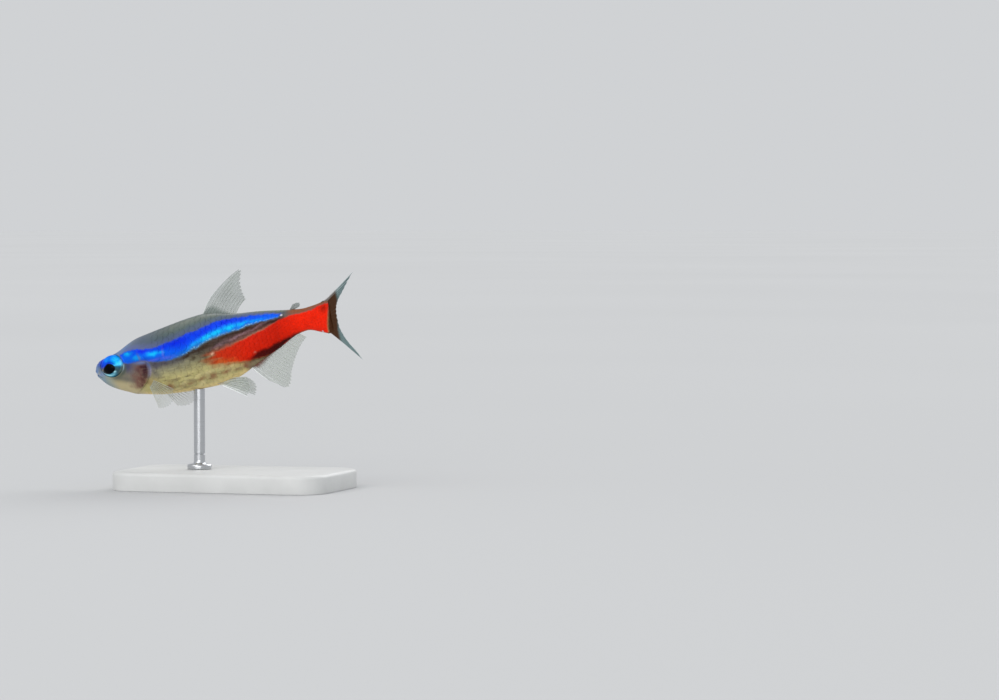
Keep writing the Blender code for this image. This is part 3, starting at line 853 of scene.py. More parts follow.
@dataclass
class Markings:
    """Where each colour lies on the fish, worked out from stations and heights."""

    stripe_upper: Profile = curve(
        [(.13, .98), (.158, 1.08), (.181, 1.17), (.224, 1.09), (.266, .95), (.309, 1.03),
         (.351, 1.22), (.394, 1.41), (.436, 1.70), (.477, 1.89), (.517, 2.14), (.556, 2.29),
         (.594, 2.22), (.634, 2.15), (.675, 2.07), (.716, 1.94), (.757, 1.81), (.80, 1.57)])
    stripe_lower: Profile = curve(
        [(.13, .02), (.154, -.12), (.173, -.26), (.217, -.22), (.257, -.50), (.297, -.70),
         (.338, -.77), (.381, -.64), (.424, -.29), (.467, 0), (.509, .40), (.55, .65),
         (.591, .79), (.632, .92), (.673, 1.06), (.715, 1.15), (.757, 1.23), (.80, 1.31)])
    red_upper: Profile = curve(
        [(.45, -1.45), (.479, -1.22), (.50, -1.05), (.541, -.86), (.581, -.66), (.623, -.42),
         (.666, -.03), (.71, .26), (.753, .55), (.799, .97), (.844, 1.12), (.889, 1.14),
         (.938, 1.22), (.99, 1.40), (1.04, 1.48)])
    red_lower: Profile = curve(
        [(.45, -1.45), (.466, -1.52), (.482, -1.89), (.507, -2.20), (.545, -2.32), (.584, -2.44),
         (.613, -2.57), (.633, -2.60), (.661, -2.50), (.69, -2.42), (.72, -2.45), (.76, -2.4),
         (.80, -2.0), (1.04, -2.2)])
    # The top of the painted shade along the red's lower edge.
    shaded_red_top: Profile = curve(
        [(.62, -2.55), (.652, -2.25), (.689, -1.86), (.731, -1.67), (.776, -1.28),
         (.818, -1.05), (.86, -.84), (.90, -.9)])
    # Painted glints: two small white reflections, one at the stripe's end and one at the foot of
    # the tail fin.
    glint_spots: tuple[Patch, ...] = (Patch(22.52, 1.39, .17, .13), Patch(27.28, -1.32, .14, .12))
    dusk_spot: Patch = Patch(28.15, 1.05, .55, .40)
    temple_spot: Patch = Patch(4.35, -.42, .75, .55)
    gill_corner: Patch = Patch(6.2, -.38, .75, .17, .9, -.15)

    def numbers(self, points: Array) -> dict[str, Array]:
        """Work out every number that the skin's material reads.

        Args:
            points: places on the straight fish, in mm.

        Returns:
            One array of numbers for each name.
        """
        x, y, z = points.T
        wobbled_x = x + 0.09 * ripple(x, z, 0.9, 3) + 0.05 * ripple(x, z, 0.3, 4)
        level = z + 0.05 * ripple(x, z, 0.8, 5) + 0.040 * ripple(x, z, 0.25, 6)
        s = wobbled_x / FISH.length
        found = {"lie_x": x, "lie_y": y, "lie_z": z, "station": x / FISH.length}
        found |= {name: spread(patches, wobbled_x, level) for name, patches in SPOTS.items()}
        found |= self.stripe(points, s, level) | self.rear(points, s, level)
        found |= self.head(points, s) | self.round_eyes(points)
        # Painted shade in the mouth's slit.
        found["mouth"] = self.mouth(points)[0]
        return {key: np.asarray(value, dtype=float) for key, value in found.items()}

    def stripe(self, points: Array, s: Array, level: Array) -> dict[str, Array]:
        """Work out the stripe, what lies along it, and how far a place is from belly to back.

        Args:
            points: places on the straight fish, in mm.
            s: their stations, made to wobble.
            level: their heights in mm, made to wobble.

        Returns:
            One array of numbers for each name.
        """
        z, plain = points[:, 2], points[:, 0] / FISH.length
        top = FISH.top(plain) * FISH.length
        bottom = FISH.bottom(plain) * FISH.length
        upper = self.stripe_upper(s)
        lower = self.stripe_lower(s)
        across = (level - lower) / np.maximum(upper - lower, 0.05)
        edge = 0.10 / np.maximum(upper - lower, 0.2)
        ends = (ease(.134, .146, s + .012 * np.abs(across - .45))
                * ease(.808, .785, s))
        parting = hump(.2125, .004, s + .01 * (across - .5)) * ease(.9, .2, across)
        under = np.clip((z - bottom) / np.maximum(lower - bottom, 0.3), 0.0, 1.0)
        over = np.clip((z - upper) / np.maximum(top - upper, 0.2), 0.0, 1.0)
        return {
            "stripe": across,
            "stripe_on": window(-edge, edge, 1 - edge, 1 + edge, across) * ends * (
                1 - 0.55 * parting),
            "stripe_rim": hump(.07, .05, level - lower) * window(.34, .40, .72, .79, s),
            "halo": hump(1.12, 0.20, across) * window(.13, .17, .78, .83, s),
            "lift": 0.5 * under + 0.5 * over,
            "shade": hump(-.28, .26, level - lower) * window(.19, .30, .79, .84, s) * (
                0.55 + 0.45 * ease(.36, .44, s)),
            # painted highlight: a pale line along the back's ridge at the back fin's base
            "ridge_light": hump(.88, .10, over) * window(.455, .49, .60, .68, s)}

    def rear(self, points: Array, s: Array, level: Array) -> dict[str, Array]:
        """Work out the red of the rear half and what lies round it.

        Args:
            points: places on the straight fish, in mm.
            s: their stations, made to wobble.
            level: their heights in mm, made to wobble.

        Returns:
            One array of numbers for each name.
        """
        x, _, z = points.T
        bottom = FISH.bottom(x / FISH.length) * FISH.length
        over = level - self.red_upper(s)
        above_low = level - self.red_lower(s)
        soft = .22 + .5 * ease(.60, .46, s)
        streak = .035 * ripple(x * .25, z * 2.2, 0.5, 11)
        stop = ease(.012, -.004, x / FISH.length - 1.017 - .011 * z)
        ragged = above_low + .04 * ripple(x, z, .6, 13)
        band = ease(self.shaded_red_top(s) + .24, self.shaded_red_top(s) - .20, level)
        low_edge = np.maximum(self.red_lower(s), bottom)
        # Painted glints, as small pale spots.
        glints = np.maximum(*(spot.at(x, z) for spot in self.glint_spots))
        return {
            "mauve": (ease(0.0, .35, self.stripe_lower(s) - level)
                      * ease(-.15, .25, over) * window(.43, .52, .78, .86, s)),
            "red": (ease(-soft * .7, soft * .5, -over)
                    * ease(-soft * .5, soft * .5, above_low)
                    * ease(.470, .522, s + streak) * stop),
            "tail_brown": 1 - stop,
            "orange": (ease(-.75, 0.0, above_low) * ease(-.6, .1, -over)
                       * ease(.44, .49, s + streak) * ease(.66, .60, s)),
            "apricot": hump(.18, .26, ragged) * window(.50, .535, .575, .617, s),
            "dusk": self.dusk_spot.at(x, z),
            # painted shade: the red darkened along its lower edge, where the stem curves under
            "maroon": (band * ease(-.12, .06, level - low_edge)
                       * window(.62, .66, .84, .90, s)),
            "sheath": ease(.05, -.20, above_low) * ease(.60, .63, s),
            "sheath_dark": hump(-.06, .18, above_low) * window(.61, .65, .74, .80, s),
            "rust": (ease(-.1, .25, over) * ease(.80, .86, s)
                     + .75 * ease(.22, .02, z - bottom) * ease(.83, .88, s)),
            "fleck": ease(.3, .8, glints)}

    def head(self, points: Array, s: Array) -> dict[str, Array]:
        """Work out the gill cover and the shades of the head.

        Args:
            points: places on the straight fish, in mm.
            s: their stations, made to wobble.

        Returns:
            One array of numbers for each name.
        """
        x, y, z = points.T
        plain = x / FISH.length
        behind = x - FISH.gill(z / FISH.length) * FISH.length
        front_edge = np.interp(z, [-3.1, -2.6, -2.0, -1.2, -.2], [4.75, 4.45, 4.60, 5.05, 5.50])
        ragged = x + .16 * ripple(x, z, .5, 8) + .08 * ripple(x, z, .2, 18)
        return {
            "gill": (ease(-.65, .90, ragged - front_edge) * ease(.04, -.20, behind)
                     * window(-3.30, -2.70, -.80, -.40, z)),
            "gill_rim": np.maximum(hump(.14, .17, behind) * window(-2.4, -1.6, -.3, .1, z),
                                   self.gill_corner.at(x, z)),
            # painted shade in the crease along the gill cover's edge
            "groove": hump(-.02, .05, behind) * window(-3.9, -3.0, -.6, .2, z),
            "cheek": (ease(.12, -.25, behind) * ease(.115, .15, s)
                      * window(-2.6, -1.6, .2, 1.0, z)),
            "temple": self.temple_spot.at(x, z),
            "throat": (ease(.22, .16, plain)
                       * ease(-1.0, -2.1, z + .12 * (x - 2.5))),
            "snout": ease(.062, .03, plain + .02 * ripple(x, z, .8, 9)),
            "snout_low": ease(.105, .045, plain) * ease(-.55, -1.05, z),
            "snout_tip": ease(.024, .004, plain) * ease(.5, -.2, z),
            "under_eye": (hump(-1.42, .48, z + .35 * (x - 3.0))
                          * window(1.5, 2.6, 4.9, 5.8, x)),
            "crown": (ease(1.05, .40, np.abs(y) + .12 * ripple(x, y, .5, 41))
                      * ease(.10, .60, z) * window(.012, .045, .24, .34, plain)),
            "brow": window(.03, .05, .15, .20, plain) * ease(.70, 1.05, z),
            "nape": window(.15, .19, .20, .36, plain) * ease(.9, 1.6, z)}

    def round_eyes(self, points: Array) -> dict[str, Array]:
        """Work out the shades that lie round both eyes.

        Args:
            points: places on the straight fish, in mm.

        Returns:
            One array of numbers for each name.
        """
        found: dict[str, Array] = {}
        for side in (-1, 1):
            rear, up, out = EyeSocket(side).local(points)
            away = np.hypot(rear, up)
            bearing = np.degrees(np.arctan2(up, rear)) % 360.0
            shares = {"socket": hump(1.42, .24, away) * hump(318, 36, bearing),
                      "before_eye": ease(1.75, 1.35, away) * hump(182, 26, bearing),
                      "lore_blue": ease(1.95, 1.45, away) * hump(162, 13, bearing),
                      "eye_corner": hump(1.28, .26, away) * hump(142, 18, bearing),
                      "pale_rim": hump(1.26, .10, away) * hump(344, 18, bearing)}
            for name, share in shares.items():
                found[name] = np.maximum(found.get(name, 0.0), share * (out > -.8))
        return found

    def mouth(self, points: Array) -> tuple[Array, Array]:
        """Measure the mouth's slit and its lips.

        Args:
            points: places on the straight fish, in mm.

        Returns:
            How deep in the slit a point is, and how high on a lip, both from 0 to 1.
        """
        x, z = points[:, 0], points[:, 2]
        slope = -1.40 / 1.65
        off = (z - (.20 + (x + .6) * slope)) / np.sqrt(1 + slope * slope)
        before = ease(1.02, .80, x)
        slit = hump(0.0, .05, off) * before
        lips = (hump(.165, .10, off) + .9 * hump(-.165, .10, off)) * ease(1.08, .65, x)
        return slit, lips


MARKS = Markings()


class Cloud(Enum):
    """What breaks up a coat of paint."""

    BROAD = "a broad cloud"
    GRAIN = "a fine grain"
    STREAKS = "streaks along the fish"
    FLESH = "soft flesh"
    FIBRES = "fibres along the fish"
    STATION = "the station itself"


@dataclass(frozen=True)
class Coat:
    """A coat over one marking, in a mixed colour or else in the paint of the same name."""

    mark: str
    strength: float = 1.0
    cloud: Cloud | None = None
    stops: tuple[tuple[float, float], ...] = ()
    paint: Paint | None = None


BREAKS = ((.30, .35), (.62, 1.0))
HEAD_COATS = [
    Coat("nape", .7), Coat("cheek", .95, Cloud.FLESH, ((.36, .72), (.60, 1.0))),
    Coat("temple", .9), Coat("throat", .95), Coat("under_eye", .88), Coat("brow", .95),
    Coat("snout", .95), Coat("snout_low", .85), Coat("snout_tip", .8), Coat("socket", .9),
    Coat("before_eye", .9), Coat("lore_blue", .92), Coat("eye_corner", .95),
    Coat("crown", .85, Cloud.BROAD, ((.30, .7), (.60, 1.0))), Coat("pale_rim", .9),
    Coat("gill", .95, Cloud.FLESH, ((.30, .72), (.52, 1.0))),
    Coat("gill_dark", .95, Cloud.FLESH, ((.36, .72), (.58, 1.0))), Coat("gill_rim", .9)]
BODY_COATS = [
    # The first coat on the next line is painted highlights on the belly.
    Coat("cream", .8), Coat("mauve", .95), Coat("violet", .85, paint=Paint.SHADE_FRONT),
    Coat("shade", .92, Cloud.FIBRES, ((.32, .62), (.52, 1.0))),
    Coat("brown", .95, Cloud.FIBRES, ((.34, .65), (.52, 1.0)), Paint.SHADE_MIDDLE),
    Coat("lavender", .65), Coat("sheath", .9), Coat("sheath_dark", .85), Coat("mottle", .9),
    Coat("orange", .8, Cloud.STREAKS, BREAKS, Paint.RED_EDGE), Coat("red"),
    # The dark red coat after dusk, on the next line, is painted shade along the red's lower edge.
    Coat("apricot", .78, Cloud.STREAKS, BREAKS), Coat("dusk", .75), Coat("maroon", .96),
    Coat("rust", .85), Coat("spark", .9),
    Coat("halo", .85, Cloud.STATION, ((.25, .7), (.35, .4), (.60, .4), (.72, 1.0))),
    # The ridge coat on the next line is a painted highlight along the back's ridge.
    Coat("ridge_light", .36, Cloud.STREAKS, BREAKS), Coat("tail_brown", .97)]
# Laid last: small painted glints, then painted shade in the mouth's slit and along the gill
# cover's edge.
LAST_COATS = [Coat("fleck"), Coat("mouth", .8), Coat("groove", .35)]


@dataclass(frozen=True)
class SkinFinish:
    """Wet, finely scaled skin with every marking."""

    name: str
    gloss: float = 0.40
    coat: float = 0.16
    shoulder_tint: Triple = (.68, .72, .76)
    scale_tints: tuple[Triple, Triple] = ((.88, .89, .92), (1.0, 1.0, .97))

    def coats(self, n: Nodes, colour: Socket, coats: list[Coat],
              clouds: dict[Cloud, Socket], mixed: dict[str, Socket]) -> Socket:
        """Lay coats of paint over the colour so far.

        Args:
            n: the material's nodes.
            colour: the colour so far.
            coats: the coats, in order.
            clouds: the patterns that break them up.
            mixed: the mixed colours, by marking.

        Returns:
            The painted colour.
        """
        for coat in coats:
            share = n.math("MULTIPLY", n.number(coat.mark), coat.strength, clamp=True)
            if coat.cloud:
                broken = n.ramp(clouds[coat.cloud], coat.stops)
                share = n.math("MULTIPLY", share, broken, clamp=True)
            paint = mixed.get(coat.mark) or coat.paint or Paint[coat.mark.upper()]
            colour = n.mix(share, colour, paint)
        return colour

    def mixed(self, n: Nodes, lift: Socket, clouds: dict[Cloud, Socket]) -> dict[str, Socket]:
        """Mix the colours that change along the fish.

        Args:
            n: the material's nodes.
            lift: how far a place is from belly to back.
            clouds: the patterns that break them up.

        Returns:
            The mixed colours, by marking.
        """
        station = clouds[Cloud.STATION]
        mauve = n.ramp(station, [(.46, Paint.MAUVE_FRONT), (.55, Paint.MAUVE),
                                 (.66, Paint.MAUVE_REAR)])
        red = n.ramp(station, [(.47, Paint.RED_EDGE), (.53, Paint.RED_FRONT), (.64, Paint.RED),
                               (.77, Paint.RED_DEEP), (.88, Paint.RED_BRIGHT)])
        streaks = n.ramp(clouds[Cloud.STREAKS], [(.42, 0.0), (.74, .45)])
        grain = n.ramp(clouds[Cloud.GRAIN], [(.40, 0.0), (.72, .30)])
        return {
            "gill_rim": n.ramp(lift, [(.36, Paint.GILL_RIM), (.46, Paint.GILL_RIM_HIGH)]),
            "mauve": n.mix(streaks, mauve, Paint.MAUVE_STREAK),
            "shade": n.ramp(station, [(.24, Paint.SHADE_FRONT), (.40, Paint.SHADE_MIDDLE),
                                      (.55, Paint.SHADE_MIDDLE), (.70, Paint.SHADE_REAR)]),
            "red": n.mix(grain, red, Paint.RED_GRAIN),
            # The dark reds of the painted shade along the red's lower edge.
            "maroon": n.ramp(station, [(.66, Paint.MAROON), (.80, Paint.MAROON_REAR)])}

    def stripe(self, n: Nodes, clouds: dict[Cloud, Socket]) -> Socket:
        """Mix the stripe's blues.

        Args:
            n: the material's nodes.
            clouds: the patterns that break them up.

        Returns:
            The stripe's colour.
        """
        across, station, grain = n.number("stripe"), clouds[Cloud.STATION], clouds[Cloud.GRAIN]
        blue = n.ramp(across, [(.0, Paint.STRIPE_LOW), (.13, Paint.STRIPE_EDGE),
                               (.32, Paint.STRIPE), (.56, Paint.STRIPE_MIDDLE),
                               (.78, Paint.STRIPE_TOP), (1.0, Paint.STRIPE_RIM)])
        front = n.ramp(across, [(.0, Paint.FRONT_LOW), (.16, Paint.FRONT_EDGE),
                                (.45, Paint.FRONT_MIDDLE), (.80, Paint.STRIPE_TOP),
                                (1.0, Paint.FRONT_RIM)])
        glow = n.times(n.number("glow"), n.ramp(grain, [(.30, .80), (.60, 1.0)]))
        dots = n.times(n.number("stripe_rim"), n.ramp(grain, [(.42, .0), (.60, 1.0)]))
        for share, paint in (
                (n.ramp(station, [(.30, 1.0), (.42, 0.0)]), front),
                (n.ramp(station, [(.60, 0.0), (.72, .45)]), Paint.STRIPE_REAR),
                (n.ramp(clouds[Cloud.BROAD], [(.40, .0), (.70, .28)]), Paint.STRIPE_WAVE),
                (glow, Paint.STRIPE_GLOW),
                (n.times(n.number("lavender"), .6), Paint.STRIPE_VIOLET),
                (n.times(dots, .8), Paint.STRIPE_DOTS)):
            blue = n.mix(share, blue, paint)
        return blue

    def material(self) -> Material:
        """Lay out the skin's material.

        Returns:
            The material.
        """
        n = Nodes(self.name)
        lift, station = n.number("lift"), n.number("station")
        fibres = n.noise(1.5, 4.0, n.stretched(n.place(), .5, 1.0, 2.6))
        grain = n.noise(5.0, 4.0)
        clouds = {Cloud.BROAD: n.noise(0.55, 3.0), Cloud.GRAIN: grain,
                  Cloud.STREAKS: n.noise(1.0, 3.0, n.stretched(n.place(), .35, 1.0, 3.2)),
                  Cloud.FLESH: n.noise(2.2, 4.0, n.stretched(n.place(), 1.0, 1.0, .55)),
                  Cloud.FIBRES: fibres, Cloud.STATION: station}
        mixed = self.mixed(n, lift, clouds)
        # The lowest stop is the belly's cream, made brighter as painted light where the underside
        # gets little light.
        colour = n.ramp(lift, [
            (0.0, Paint.BELLY_LOW), (.07, Paint.BELLY), (.24, Paint.BELLY), (.36, Paint.FLANK),
            (.47, Paint.FLANK_GREY), (.53, Paint.BACK_LOW), (.72, Paint.BACK),
            (.90, Paint.BACK_HIGH), (1.0, Paint.RIDGE)])
        colour = self.coats(n, colour, HEAD_COATS, clouds, mixed)
        shoulder = n.times(n.ramp(station, [(.18, 0.0), (.23, 1.0), (.32, 1.0), (.41, .15)]),
                           n.ramp(lift, [(.50, 0.0), (.56, 1.0)]))
        colour = n.mix(shoulder, colour, self.shoulder_tint, "MULTIPLY")
        under = n.times(n.ramp(lift, [(.30, 1.0), (.46, 0.0)]),
                        n.ramp(station, [(.20, .0), (.29, 1.0)]))
        for stops, paint in (([(.52, 0.0), (.70, .50)], Paint.FIBRE_PALE),
                             ([(.34, .55), (.48, 0.0)], Paint.FIBRE_DARK)):
            colour = n.mix(n.times(under, n.ramp(fibres, stops)), colour, paint)
        colour = self.coats(n, colour, BODY_COATS, clouds, mixed)
        blue = n.number("stripe_on")
        colour = n.mix(blue, colour, self.stripe(n, clouds))
        colour = self.coats(n, colour, LAST_COATS, clouds, mixed)

        freckles = n.times(n.ramp(n.cells(3.1), [(.05, .55), (.22, 0.0)]),
                           n.ramp(lift, [(.50, 0.0), (.62, .8), (1.0, .9)]))
        dots = n.times(n.ramp(n.cells(6.5), [(.08, .40), (.22, 0.0)]),
                       n.times(n.ramp(station, [(.16, 1.0), (.24, 0.0)]),
                               n.ramp(lift, [(.20, .15), (.55, 1.0)])))
        freckles = n.times(n.math("MAXIMUM", freckles, dots),
                           n.math("SUBTRACT", 1.0, blue, clamp=True))
        colour = n.mix(freckles, colour, Paint.FRECKLE)
        colour = n.mix(n.times(n.number("scale_edge"), .06), colour, Paint.SCALE_EDGE, "MULTIPLY")
        dim, bright = self.scale_tints
        tint = n.ramp(n.number("scale_tone"), [(0.0, dim), (1.0, bright)])
        colour = n.mix(1.0, colour, tint, "MULTIPLY")
        fine = n.bump(n.noise(9.0, 3.0), .18, .00003)
        return n.finish(Base_Color=colour, Roughness=n.scaled(grain, .16, self.gloss - .08),
                        Metallic=n.times(blue, .15), IOR=1.22, Specular_IOR_Level=.22,
                        Coat_Weight=self.coat, Coat_Roughness=.12, Coat_IOR=1.25,
                        Subsurface_Weight=.05, Subsurface_Scale=.0003,
                        Subsurface_Radius=Vector((1.0, .45, .25)),
                        Normal=n.bump(n.noise(1.7, 2.0), .12, .0001, Normal=fine))


# Skin and scales

@dataclass
class Skin:
    """The whole fish's skin in one mesh, with the head's folds raised in it."""

    rings: int = 640
    half_steps: int = 160
    inset: float = 0.045
    crowding: float = 1.45
    bulge: float = 0.16
    bulge_reach: float = 1.3

    def __post_init__(self) -> None:
        """Lay out the plain skin, which the scales also lie on."""
        share = np.linspace(0.0, 1.0, self.rings + 1)
        self.stations = FISH.end * share ** self.crowding
        sides, heights = FISH.half_sections(self.stations, self.half_steps)
        sides = np.concatenate([-sides, sides[:, -2:0:-1]], axis=1)
        heights = np.concatenate([heights, heights[:, -2:0:-1]], axis=1)
        along = np.broadcast_to((self.stations * FISH.length)[:, None], sides.shape)
        self.plain = np.stack([along, sides, heights], axis=-1)
        self.normals = -grid_normals(self.plain)
        self.normals[0] = (-1.0, 0.0, 0.0)
        self.columns = sides.shape[1]

    def at(self, station: Array, girth: Array) -> tuple[Array, Array]:
        """Find a place on the plain skin.

        Args:
            station: fractions of the standard length.
            girth: 0 at the belly, 1 at the back, by the left side, and 2 at the belly again.

        Returns:
            The places and the skin's normals there.
        """
        row = np.interp(station, self.stations, np.arange(self.rings + 1))
        low = np.clip(np.floor(row).astype(int), 0, self.rings - 1)
        part = (row - low)[..., None]
        column = (girth % 2.0) * self.half_steps
        left = np.floor(column).astype(int) % self.columns
        right = (left + 1) % self.columns
        share = (column - np.floor(column))[..., None]

        def read(table: Array) -> Array:
            """Read a table between its rows and columns.

            Args:
                table: what is kept at the skin's points.

            Returns:
                Its values at the places.
            """
            near = table[low, left] * (1 - share) + table[low, right] * share
            far = table[low + 1, left] * (1 - share) + table[low + 1, right] * share
            return near * (1 - part) + far * part

        return read(self.plain), unit(read(self.normals))

    def raised(self, points: Array) -> Array:
        """Give how far the head's folds stand out of the plain skin.

        Args:
            points: places on the plain skin, of shape (n, 3).

        Returns:
            Heights in mm.
        """
        x, z = points[:, 0], points[:, 2]
        behind = x - FISH.gill(z / FISH.length) * FISH.length
        fade = ease(.3, -.6, z) * (.35 + .65 * ease(-3.5, -2.9, z))
        cover = self.bulge * np.exp(-(behind / self.bulge_reach) ** 2)
        cover = cover * (.15 + .85 * ease(-3.85, -2.9, z))
        cover = np.where(behind > 0, cover * ease(.10, 0.0, behind) * fade
                         + cover * (1 - fade), cover)
        height = cover - .05 * hump(.13, .06, behind) * fade
        line = np.interp(z, [-2.7, -2.2, -1.4, -.4, .3], [3.2, 3.9, 4.35, 4.6, 4.75])
        height -= .028 * hump(0, .07, x - line) * ease(-2.8, -2.2, z) * ease(.35, -.1, z)
        slit, lips = MARKS.mouth(points)
        height += .085 * lips - .16 * slit
        for station, level in ((.022, .42), (.031, .68)):
            away = np.hypot(x - station * FISH.length, z - level)
            height += .03 * hump(.15, .05, away) - .10 * hump(0, .085, away)
        cheek = ease(.03, .08, x / FISH.length) * ease(.23, .17, x / FISH.length)
        height += .012 * ripple(x, z, 1.3, 31) * cheek
        return height

    def seat_eyes(self, points: Array) -> Array:
        """Press the skin in round each eye and raise a fine ring at its rim.

        Args:
            points: the skin's points, of shape (n, 3).

        Returns:
            The points with both sockets.
        """
        points = points.copy()
        for side in (-1, 1):
            socket = EyeSocket(side)
            rear, up, out = socket.local(points)
            away = np.hypot(rear, up)
            facing = (out > -.5) & (away < 2.2)
            way = socket.axes()[2]
            ring = .045 * hump(1.31, .085, away)
            level = np.minimum(out, .50) * ease(1.75, 1.30, away) + out * (
                1 - ease(1.75, 1.30, away))
            sunk = level + ring
            deep = ease(1.235, 1.14, away)
            sunk = sunk * (1 - deep) + np.minimum(sunk, -.25) * deep
            shift = np.where(facing, sunk - out, 0.0)
            points += shift[:, None] * way
        return points

    def build(self, material: Material) -> Piece:
        """Make the skin.

        Args:
            material: the skin's material.

        Returns:
            The skin's object.
        """
        flat = self.plain.reshape(-1, 3)
        height = self.raised(flat) - self.inset
        points = self.seat_eyes(flat + self.normals.reshape(-1, 3) * height[:, None])
        shape = Shape("skin")
        shape.add(FISH.world(points), grid_faces(self.rings + 1, self.columns, True),
                  **MARKS.numbers(flat), scale_edge=0.0, scale_tone=.5)
        cap = np.arange(self.columns) + self.rings * self.columns
        shape.faces.append(np.stack([cap[:-2], cap[1:-1], np.full(self.columns - 2, cap[-1])],
                                    axis=-1)[:, ::-1])
        return shape.build(material)


@dataclass
class Scales:
    """Thin overlapping scales on the body, in one coat for each side."""

    skin: Skin
    first: float = 0.168
    last: float = 1.012
    rows: int = 24
    spacing_front: float = 0.66
    spacing_rear: float = 0.42
    overlap: float = 1.75
    breadth: float = 1.18
    lift: float = 0.016
    root: float = -0.024
    thickness: float = 0.013
    grid: tuple[int, int] = (9, 7)
    spot_size: float = .0015

    def spacing(self, station: float) -> float:
        """Give the distance between rows at a station, in mm, less towards the tail."""
        share = np.clip((station - .3) / .6, 0, 1)
        return self.spacing_front + (self.spacing_rear - self.spacing_front) * share

    def columns(self) -> Array:
        """Place the rows along the fish.

        Returns:
            Their stations.
        """
        found = [self.first]
        while found[-1] < self.last:
            found.append(found[-1] + self.spacing(found[-1]) / FISH.length)
        return np.array(found)

    def build(self, material: Material) -> list[Piece]:
        """Make both coats.

        Args:
            material: the skin's material.

        Returns:
            The coats of the left and the right side.
        """
        picks = np.random.default_rng(7)
        along_steps, across_steps = self.grid
        across, along = np.meshgrid(np.linspace(-1, 1, across_steps),
                                    np.linspace(-1, 1, along_steps))
        disc_u = across * np.sqrt(1 - along ** 2 / 2)
        disc_v = along * np.sqrt(1 - across ** 2 / 2)
        count = disc_u.size
        faces = sheet_faces(*self.grid)
        rise = (disc_v + 1) / 2
        rim = np.hypot(disc_u, disc_v)
        edge = (ease(.72, 1.0, rim) * ease(-.3, .4, disc_v)).ravel()
        spots = np.stack([disc_v, disc_u], axis=-1).reshape(-1, 2) * self.spot_size
        sides: list[dict[str, list[Array]]] = [{key: [] for key in (
            "points", "faces", "flat", "tone", "spot")} for _ in range(2)]
        for index, station in enumerate(self.columns()):
            for row in range(self.rows):
                girth = 2.0 * (row + .5 * (index % 2)) / self.rows
                jitter = picks.uniform(-1, 1, 3)
                if not self.wanted(station, girth):
                    continue
                u = girth + disc_u * (self.breadth / self.rows) * (1 + .03 * jitter[0])
                reach = (disc_v * self.overlap / 2 - .25) * self.spacing(station) / FISH.length
                place, normal = self.skin.at(np.clip(station + reach, .02, FISH.end - .001), u)
                ridge = np.minimum(np.abs(u - 1), np.minimum(np.abs(u), np.abs(2 - u)))
                calm = .25 + .75 * ease(.02, .16, ridge)
                high = self.root + (self.lift * calm - self.root) * rise ** 1.1
                high = high + (.003 * jitter[1] + .006 * (1 - disc_u ** 2)) * calm
                seated = ease(.0, .35, rise)
                high = high * seated + self.root * (1 - seated) - self.skin.inset
                upper = place + normal * high[..., None]
                lower = place + normal * (high - self.thickness * (1.2 - .8 * rise))[..., None]
                coat = sides[0 if girth < 1.0 else 1]
                coat["faces"].append(faces + 2 * count * len(coat["points"]))
                coat["points"].append(np.concatenate([upper.reshape(-1, 3), lower.reshape(-1, 3)]))
                coat["flat"].append(np.tile(place.reshape(-1, 3), (2, 1)))
                coat["tone"].append(np.full(2 * count, .5 + .5 * jitter[2]))
                corner = np.array([station / FISH.end * .94 + .03, girth / 2 * .94 + .03])
                coat["spot"].append(np.tile(corner + spots, (2, 1)))
        found = []
        for word, coat in zip(("left", "right"), sides):
            shape = Shape("scales_" + word)
            joined = {key: np.concatenate(coat[key]) for key in coat}
            shape.add(FISH.world(joined["points"]), joined["faces"], unwrap=joined["spot"],
                      scale_edge=np.tile(edge, 2 * len(coat["points"])),
                      scale_tone=joined["tone"], **MARKS.numbers(joined["flat"]))
            found.append(shape.build(material))
        return found

    def wanted(self, station: float, girth: float) -> bool:
        """Say whether a scale grows here.

        Args:
            station: where the scale's root is.
            girth: where it is round the body.

        Returns:
            False on the head.
        """
        place, _ = self.skin.at(np.array([station]), np.array([girth]))
        edge = float(FISH.gill(place[0, 2] / FISH.length))
        return station > edge + .016


# Eyes

